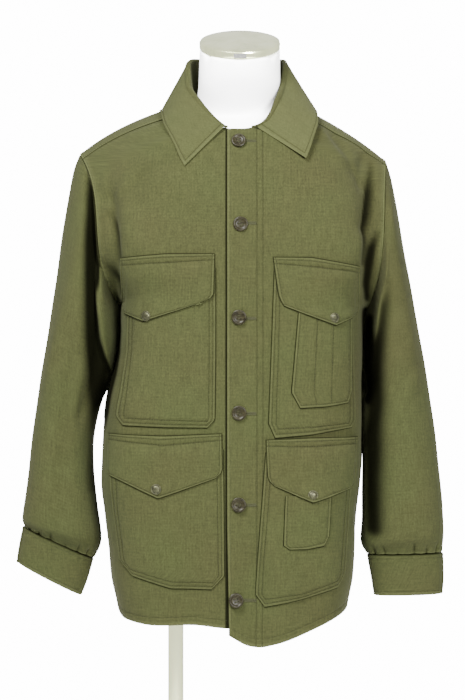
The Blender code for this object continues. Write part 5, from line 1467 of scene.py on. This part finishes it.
def patch(name, node, side, rows, thickness, below, stitches, flap=False, bulge=0.0, extra=()):
    """A piece laid on a front: rows in front view from its lower edge up; stitches are distances in
    from the sides and the lower edge (for a flap, from its top), extra are further upright lines."""
    rows = table(PATCH_ROW, rows)
    keys = np.linspace(0, 1, len(rows["xa"]))
    wide = abs(rows["xb"][-1] - rows["xa"][-1]) * 1.12
    levels = (rows["za"] + rows["zm"] + rows["zb"]) / 3
    tall = levels[-1] - levels[0]
    both_edges = [(0, d) for d in EDGE_LINES] + [(1, -d) for d in EDGE_LINES]
    upright = [(0, d) for d in stitches] + [(1, -d) for d in stitches] + [(share, 0) for share in extra]
    level = [(1, -d) for d in stitches] if flap else [(0, d) for d in stitches]
    if flap:
        upright = [(0, stitches[0]), (1, -stitches[0])]
        level = level + [(0, stitches[0])]
    columns = fill_in(both_edges + [(0.5, 0)] + stitched(*upright), wide, 0.0046)
    up = fill_in(both_edges + stitched(*level), tall, 0.0050)
    at_c, at_r = lengths(columns, wide), lengths(up, tall)
    share, lift = np.meshgrid(at_c / wide, np.interp(at_r + levels[0], levels, keys))
    if flap:
        row = {key: curve(keys, column, lift) for key, column in rows.items()}
    else:
        row = {key: np.interp(lift, keys, column) for key, column in rows.items()}
    half = abs(rows["xm"][-1] - rows["xa"][-1]) / abs(rows["xb"][-1] - rows["xa"][-1])
    first, second = np.clip(share / half, 0, 1), np.clip((share - half) / (1 - half), 0, 1)
    x = row["xa"] + (row["xm"] - row["xa"]) * first + (row["xb"] - row["xm"]) * second
    z = row["za"] + (row["zm"] - row["za"]) * first + (row["zb"] - row["zm"]) * second
    u, v = locate(side, x, z)
    points = stack(x, front_skin(side, u, v, creased=False)[..., 1], z)
    out = side * normals(lambda a, b: front_skin(side, a, b, creased=False), u, v)
    swell = np.clip(16 * share * (1 - share) * lift * (1 - 0.5 * lift), 0, 1)
    points = points + out * (LAY_GAP + thickness + bulge * swell)[..., None]
    points = clear_of(outer_tree(*below), points, out, LAY_GAP + thickness)
    if flap:
        in_from_edge = (at_r > stitches[0] - 0.001)[:, None]
        depth = groove(columns, upright, wide)[None, :] * in_from_edge
        depth = np.minimum(depth, groove(up, level, tall)[:, None])
        edge = np.minimum(np.minimum(at_c, wide - at_c)[None, :], np.minimum(at_r, tall - at_r)[:, None])
    else:
        depth = 0 * lift
        for d in stitches:
            inside_c = ((at_c > d - 0.0008) & (at_c < wide - d + 0.0008))[None, :]
            above = (at_r > d - 0.0008)[:, None]
            depth = np.minimum(depth, groove(columns, [(0, d), (1, -d)], wide)[None, :] * above)
            depth = np.minimum(depth, groove(up, [(0, d)], tall)[:, None] * inside_c)
        depth = np.minimum(depth, groove(columns, [(s, 0) for s in extra], wide)[None, :]
                           * (at_r > stitches[-1])[:, None])
        edge = np.minimum(np.minimum(at_c, wide - at_c)[None, :], at_r[:, None])
    rolled = -PATCH_EDGE * np.exp(-(edge / TUCK_REACH) ** 2)
    points = points + out * (depth + rolled)[..., None]
    rubbed = np.exp(-((edge - 0.0022) / 0.0018) ** 2) * 0.55
    sewn = np.clip(-depth / GROOVE_DEEP, 0, 1)
    near = np.maximum(near_lines(columns, upright, wide, SEWN_NEAR)[None, :],
                      near_lines(up, level, tall, SEWN_NEAR)[:, None])
    # Painted shade in the stitch grooves and a painted shadow line round the turned edges.
    painted_shade = np.maximum(sewn * 0.45, 0.85 * np.exp(-(edge / 0.0014) ** 4))
    layers = (points, chart(points, x[0, 0], side), rubbed, painted_shade, near)
    piece = cloth(name, [flipped(*layers) if side == RIGHT else layers], thickness, [node])
    cut_wide = np.abs(np.diff(points[len(points) // 2, :, 0])).sum() + CUT_TURNING
    cut_tall = np.ptp(points[..., 2]) + CUT_TURNING
    face = grid_normals(points) * side
    paths = []
    for d in stitches[:1] if flap else stitches:
        low = index_of(up, 0, d, tall)
        ends = index_of(columns, 0, d, wide), index_of(columns, 1, -d, wide)
        paths += [seam_path(points, face, slice(low, -2), end) for end in ends]
        paths.append(seam_path(points, face, low, slice(ends[0], ends[1] + (0 if flap else 1))))
    if flap:
        paths += [seam_path(points, face, index_of(up, 1, -d, tall), slice(2, -2)) for d in stitches]
    paths += [seam_path(points, face, slice(low, -2), index_of(columns, s, 0, wide)) for s in extra]
    lay_stitches(name + "_stitches", paths)


TWICE = (0.0050, 0.0110)        # the two rows of stitches round a pocket
ONCE = (0.0045,)
FLAP_TWICE = (0.0042, 0.0102)   # one row round a flap, and both along its top
for side in (RIGHT, LEFT):
    word = WORDS[side]
    front = f"{word}_front"
    patch(f"{word}_chest_pocket", f"chest_pocket_{word}", side, CHEST_POCKET[side], CLOTH, [front], TWICE,
          bulge=POCKET_BULGE)
    patch(f"{word}_lower_pocket", f"lower_pocket_{word}", side, LOWER_POCKET[side], CLOTH, [front], TWICE,
          bulge=POCKET_BULGE)
patch("pencil_pocket_patch", "pencil_pocket", LEFT, PENCIL_POCKET, CLOTH, ["left_chest_pocket"], ONCE,
      extra=(0.36, 0.64))
patch("small_pocket_patch", "small_pocket", LEFT, SMALL_POCKET, CLOTH, ["left_lower_pocket"], ONCE)
for side in (RIGHT, LEFT):
    word = WORDS[side]
    front = f"{word}_front"
    extra = ["pencil_pocket_patch"] if side == LEFT else []
    patch(f"{word}_chest_flap", f"chest_flap_{word}", side, CHEST_FLAP[side], DOUBLE,
          [front, f"{word}_chest_pocket"] + extra, FLAP_TWICE, flap=True)
    extra = ["small_pocket_patch"] if side == LEFT else []
    patch(f"{word}_lower_flap", f"lower_flap_{word}", side, LOWER_FLAP[side], DOUBLE,
          [front, f"{word}_lower_pocket"] + extra, FLAP_TWICE, flap=True)


# ---- Collar -------------------------------------------------------------------------------------
# A one-piece fold-over collar of two layers: it stands up from the neckline, folds over and lies
# on the fronts and the yoke with two points. It is stitched 6 mm in from its edge.
COLLAR_ROW = "angle fold_x fold_y fold_z edge_x edge_y edge_z"
COLLAR = {
    RIGHT: table(COLLAR_ROW, [
        (0, 0.000, 0.0600, 1.4960, 0.0000, 0.1010, 1.4080),
        (40, 0.042, 0.0460, 1.4950, 0.0700, 0.0830, 1.4080),
        (75, 0.066, 0.0180, 1.4920, 0.1080, 0.0340, 1.4100),
        (100, 0.0725, -0.016, 1.4800, 0.1180, -0.0200, 1.4080),
        (125, 0.0710, -0.048, 1.4480, 0.1120, -0.0720, 1.3850),
        (145, 0.0530, -0.080, 1.4160, 0.0960, -0.1080, 1.3530),
        (158, 0.0310, -0.100, 1.3885, 0.0860, -0.1230, 1.3300),
        (166, 0.0195, -0.109, 1.3780, 0.0800, -0.1290, 1.3186)]),
    LEFT: table(COLLAR_ROW, [
        (0, 0.000, 0.0600, 1.4960, 0.0000, 0.1010, 1.4080),
        (40, 0.042, 0.0460, 1.4950, 0.0700, 0.0830, 1.4080),
        (75, 0.0640, 0.0180, 1.4910, 0.1060, 0.0340, 1.4100),
        (100, 0.0640, -0.016, 1.4790, 0.1160, -0.0200, 1.4080),
        (125, 0.0590, -0.048, 1.4460, 0.1160, -0.0720, 1.3900),
        (145, 0.0500, -0.080, 1.4200, 0.1080, -0.1020, 1.3620),
        (158, 0.0380, -0.098, 1.3900, 0.1010, -0.1180, 1.3420),
        (166, 0.0225, -0.108, 1.3780, 0.0960, -0.1250, 1.3297)]),
}
COLLAR_BEND = 0.0045
NECK_SEAM = 0.0015
FRONT_END = 166         # angle of the collar's front edges
COLLAR_STITCH = 0.0060
EDGE_PER_DEGREE = 0.0020        # how fast the collar runs past the front edge, in metres
COLLAR_PAINTED_LIGHT = {RIGHT: 0.30, LEFT: 0.50}        # painted light: how much paler its front halves are painted where they face the light
STAND_STEPS, BEND_STEPS = 8, 5


def collar_section(side, angle, shares):
    """Points of one cross-section: up the stand, over the fold, down the leaf."""
    at = {key: curve(COLLAR[side]["angle"], column, angle) for key, column in COLLAR[side].items()}
    base = neckline(side, np.array(180.0 - angle)) + np.array([0, 0, NECK_SEAM])
    fold = np.array([CENTRE_X + side * at["fold_x"], at["fold_y"], at["fold_z"]])
    edge = np.array([CENTRE_X + side * at["edge_x"], at["edge_y"], at["edge_z"]])
    away = (edge - base) * (1, 1, 0)
    away = away / np.linalg.norm(away)
    up = np.array([0, 0, 1.0])
    bend = COLLAR_BEND * (1 - 0.6 * fade((angle - 140) / 26))
    stand = [base + (fold - up * bend - base) * t for t in np.linspace(0, 1, STAND_STEPS)[:-1]]
    turn = np.radians(np.linspace(180, 0, BEND_STEPS * 2 + 1))
    middle = fold - up * bend + away * bend
    over = [middle + away * bend * math.cos(t) + up * bend * math.sin(t) for t in turn]
    leaf = [over[-1] + (edge - over[-1]) * t for t in shares[1:]]
    return np.array(stand + over + leaf)


def collar_lines(length):
    """Grid lines of the collar up to an edge, one length away."""
    return fill_in([(0, 0)] + [(1, -d) for d in EDGE_LINES] + stitched((1, -COLLAR_STITCH)), length, 0.0042)


LEAF_LONG = 0.090
leaf_marks = collar_lines(LEAF_LONG)
leaf_shares = lengths(leaf_marks, LEAF_LONG) / LEAF_LONG
half_round = FRONT_END * EDGE_PER_DEGREE
end_marks = collar_lines(half_round)
end_angles = lengths(end_marks, half_round) / EDGE_PER_DEGREE
stations = [(RIGHT, a) for a in end_angles[::-1]] + [(LEFT, a) for a in end_angles[1:]]
points = np.array([collar_section(side, angle, leaf_shares) for side, angle in stations])
leaf_start = STAND_STEPS - 1 + BEND_STEPS * 2
out = -grid_normals(points)
across = np.concatenate([lengths(end_marks, half_round)[::-1], lengths(end_marks, half_round)[1:]])
from_end = half_round - across
down = np.concatenate([np.full(leaf_start, 0.0), lengths(leaf_marks, LEAF_LONG)])
from_edge = LEAF_LONG - down
inset = np.minimum(from_end[:, None], from_edge[None, :])
on_leaf = np.zeros(points.shape[:2])
on_leaf[:, leaf_start:] = 1
tree = outer_tree("left_front", "right_front", "yoke_panel")
leaf = np.s_[:, leaf_start + 3:]
points[leaf] = clear_of(tree, points[leaf], out[leaf], DOUBLE + LAY_GAP, 0.030)
past_end = from_end[:, None] - COLLAR_STITCH
past_edge = from_edge[None, :] - COLLAR_STITCH
dips = np.maximum(np.exp(-(past_end / GROOVE_REACH) ** 2) * (past_edge > -0.0008),
                  np.exp(-(past_edge / GROOVE_REACH) ** 2) * (past_end > -0.0008))
rolled = PATCH_EDGE * np.exp(-(inset / TUCK_REACH) ** 2)
points = points - out * ((GROOVE_DEEP * dips + rolled) * on_leaf)[..., None]
points = points + out * (0.7 * sway(points) * on_leaf)[..., None]
rubbed = np.exp(-(inset / WEAR_NEAR) ** 2) * on_leaf * 0.9
# Painted light: the leaf's front halves are painted paler where they face the light, in the worn edges'
# colour.
collar_painted_light = [fade((angle - 70) / 60) * COLLAR_PAINTED_LIGHT[side] for side, angle in stations]
rubbed = np.maximum(rubbed, np.array(collar_painted_light)[:, None] * on_leaf)
sewn = np.exp(-((inset - COLLAR_STITCH) / SEWN_NEAR) ** 2) * on_leaf
places = chart(points, tube=True)[..., ::-1]
# The stitch grooves of the leaf get painted shade.
collar = cloth("fold_over_collar", [(points, places, rubbed, dips * on_leaf * 0.4, sewn)], DOUBLE, ["collar"],
               flip=True)
face = -grid_normals(points)
left_row = int(np.argmin(np.abs(from_end[:len(end_angles)] - COLLAR_STITCH)))
right_row = len(points) - 1 - left_row
edge_column = int(np.argmin(np.abs(from_edge - COLLAR_STITCH)))
lay_stitches("fold_over_collar_stitches",
             [seam_path(points, face, slice(left_row, right_row + 1), edge_column),
              seam_path(points, face, left_row, slice(leaf_start, edge_column)),
              seam_path(points, face, right_row, slice(leaf_start, edge_column))])


# ---- Buttons and buttonholes --------------------------------------------------------------------
# Six dark, polished four-hole buttons of 21 mm down the front and a smaller one on each cuff, sewn on
# with two bars of thread. The front's buttonholes are level slits, bound all round with thread.
BUTTON_DARK = (0.0040, 0.0034, 0.0018, 1)
BUTTON_STREAK = (0.0110, 0.0098, 0.0046, 1)
horn = mottled("polished_button", (130.0, 4.0, 1.5), [(0.35, BUTTON_DARK), (0.68, BUTTON_STREAK)],
               [(0.3, 0.26), (0.7, 0.40)], stretch=(1, 1, 2.6), specular=0.05)

HOLE_OUT = 0.30         # how far a hole lies from the middle, as a share of the radius
HOLE_WIDE = 0.105
THREAD_BAR = 0.00055
BAR_LEVEL = 0.56        # height of the thread's bars, as a share of the thickness
BAR_FLAT = 0.28         # how flat they lie
# A button's outline, in shares of its radius and its thickness.
BUTTON_OUTLINE = [(0.60, 0), (0.90, 0.10), (0.985, 0.36), (1, 0.60), (0.975, 0.84), (0.90, 0.98), (0.82, 1),
                  (0.74, 0.92), (0.66, 0.72), (0.52, 0.62), (0.20, 0.60)]


def button_at(node_name, name, holes_turned):
    """A four-hole button on its solid's place: dished face, rounded rim, drilled holes, thread bars.
    The dished side looks to the front, so the buttons behind the cuffs show their flat backs."""
    _, axis, foot, radius, thick = disc_of(node_name, (0, -1, 0))
    made = turned([(wide * radius, high * thick) for wide, high in BUTTON_OUTLINE], 48)
    for k in range(4):
        turn = math.radians(45 + 90 * k)
        at = (math.cos(turn) * HOLE_OUT * radius, math.sin(turn) * HOLE_OUT * radius, thick / 2)
        bpy.ops.mesh.primitive_cylinder_add(vertices=14, radius=HOLE_WIDE * radius, depth=3 * thick,
                                            location=at)
        drill = bpy.context.object
        cut = made.modifiers.new("hole", "BOOLEAN")
        cut.operation = "DIFFERENCE"
        cut.object = drill
        apply_all(made)
        bpy.data.objects.remove(drill)
    stand_turn = Matrix.Rotation(holes_turned, 4, "Z")
    made.data.transform(stand_turn)
    stand_on(made, foot, axis)
    smooth(made, 35)
    finished(made, name, horn)
    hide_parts(node_name)
    bars = []
    level = BAR_LEVEL * thick
    for way in (-1, 1):
        bpy.ops.object.select_all(action="DESELECT")
        bpy.ops.mesh.primitive_torus_add(major_segments=24, minor_segments=8,
                                         major_radius=HOLE_OUT * radius * 0.72, minor_radius=THREAD_BAR,
                                         rotation=(math.radians(90), 0, 0),
                                         location=(0, way * HOLE_OUT * radius * 0.707, level))
        bar = bpy.context.object
        bpy.ops.object.transform_apply(location=True, rotation=True, scale=True)
        for vertex in bar.data.vertices:
            vertex.co.z = level + (vertex.co.z - level) * BAR_FLAT
        bars.append(bar)
    pick(*bars)
    bpy.ops.object.join()
    tie = bars[0]
    tie.data.transform(stand_turn)
    stand_on(tie, foot, axis)
    smooth(tie, 60)
    finished(tie, name + "_thread", thread)


for i, turned_by in enumerate((0.2, 0.75, 0.0, 0.5, 1.1, 0.3)):
    button_at(f"button_{i + 1}", f"front_button_{i + 1}", turned_by)
for side in (RIGHT, LEFT):
    button_at(f"cuff_button_{WORDS[side]}", f"{WORDS[side]}_cuff_button", 0.4)

BUTTONHOLE_LONG = 0.0250
BUTTONHOLE_START = -0.0020      # inner end, from the button line
BUTTONHOLE_STEPS = 39
BUTTONHOLE_LEVELS = (1.3545, 1.2345, 1.0980, 0.9615, 0.8304, 0.6930)
LIP_APART = 0.00125             # from the slit's middle to the binding on each side
LIP_HALF = 0.0012               # half the length of a binding stitch, beside the slit
END_HALF = 0.0022               # and across its ends
SLIT_HALF = 0.0006
# The slit is a thin dark mottled sheet: painted shade standing for the shade inside the cut.
SLIT_PAINTED_SHADE_DARK = (0.010, 0.010, 0.005, 1)
SLIT_PAINTED_SHADE_LIGHT = (0.022, 0.022, 0.010, 1)
slit_painted_shade = mottled("buttonhole_painted_shade", (700.0, 2.0, 0), [(0.3, SLIT_PAINTED_SHADE_DARK), (0.7, SLIT_PAINTED_SHADE_LIGHT)], 1.0)
front_tree = outer_tree("left_front")
for i, z in enumerate(BUTTONHOLE_LEVELS):
    x = CENTRE_X + BUTTONHOLE_START + np.linspace(0, BUTTONHOLE_LONG, BUTTONHOLE_STEPS + 1)
    middle, out = [], []
    for place in x:
        hit, normal, _, _ = front_tree.ray_cast(Vector((place, -0.5, z)), Vector((0, 1, 0)))
        middle.append(hit)
        out.append(normal)
    middle, out = np.array(middle), np.array(out)
    up = np.array([0, 0, 1.0])
    paths = []
    for way in (-1, 1):
        for k in range(BUTTONHOLE_STEPS):
            for part in (0, 0.5):
                at = middle[k] + (middle[k + 1] - middle[k]) * part + up * way * LIP_APART
                paths.append((np.array([at - up * LIP_HALF, at + up * LIP_HALF]), np.array([out[k], out[k]])))
    for end in (0, -1):
        for offset in (-0.00054, 0, 0.00054):
            at = middle[end] + np.array([offset, 0, 0])
            paths.append((np.array([at - up * END_HALF, at + up * END_HALF]), np.array([out[end], out[end]])))
    lay_stitches(f"buttonhole_{i + 1}_binding", paths, pitch=0.0015, rise=0.0003)
    raised = middle + out * 0.00015
    slit_rows = np.array([raised - up * SLIT_HALF, raised + up * SLIT_HALF])
    bpy.ops.object.select_all(action="DESELECT")
    bpy.ops.mesh.primitive_grid_add(x_subdivisions=BUTTONHOLE_STEPS, y_subdivisions=1)
    slit = bpy.context.object
    slit.data.vertices.foreach_set("co", slit_rows.reshape(-1))
    wall = slit.modifiers.new("slit", "SOLIDIFY")
    wall.thickness = 0.0002
    wall.offset = -1
    apply_all(slit)
    finished(slit, f"buttonhole_{i + 1}_slit", slit_painted_shade)


# ---- Snaps --------------------------------------------------------------------------------------
# A domed snap of darkened brass holds the point of each flap down; only its cap shows, pressed a
# little into the cloth, with a rolled rim.
SNAP_DARK = (0.012, 0.012, 0.006, 1)
SNAP_BRASS = (0.036, 0.037, 0.017, 1)
SNAP_SUNK = 0.0004          # how far a cap is pressed into its flap
# A cap's outline, as the buttons'.
SNAP_OUTLINE = [(0.92, 0), (1, 0.12), (1, 0.30), (0.95, 0.42), (0.86, 0.40), (0.80, 0.34), (0.76, 0.46),
                (0.66, 0.70), (0.48, 0.90), (0.28, 0.985), (0.10, 1)]
brass = mottled("darkened_brass", (420.0, 4.0, 0), [(0.35, SNAP_DARK), (0.72, SNAP_BRASS)],
                [(0.3, 0.60), (0.7, 0.42)], metal=0.85)
for place in ("chest_right", "chest_left", "lower_right", "lower_left"):
    middle, axis, _, radius, thick = disc_of(f"snap_{place}", (0, -1, 0))
    level, word = place.split("_")
    flap_tree = outer_tree(f"{word}_{level}_flap")
    foot = flap_tree.ray_cast(Vector((middle[0], -0.5, middle[2])), Vector((0, 1, 0)))[0]
    foot -= Vector(axis) * SNAP_SUNK
    snap = turned([(wide * radius, high * thick) for wide, high in SNAP_OUTLINE], 40)
    stand_on(snap, foot, axis)
    smooth(snap, 50)
    finished(snap, f"{place}_snap", brass)
    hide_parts(f"snap_{place}")
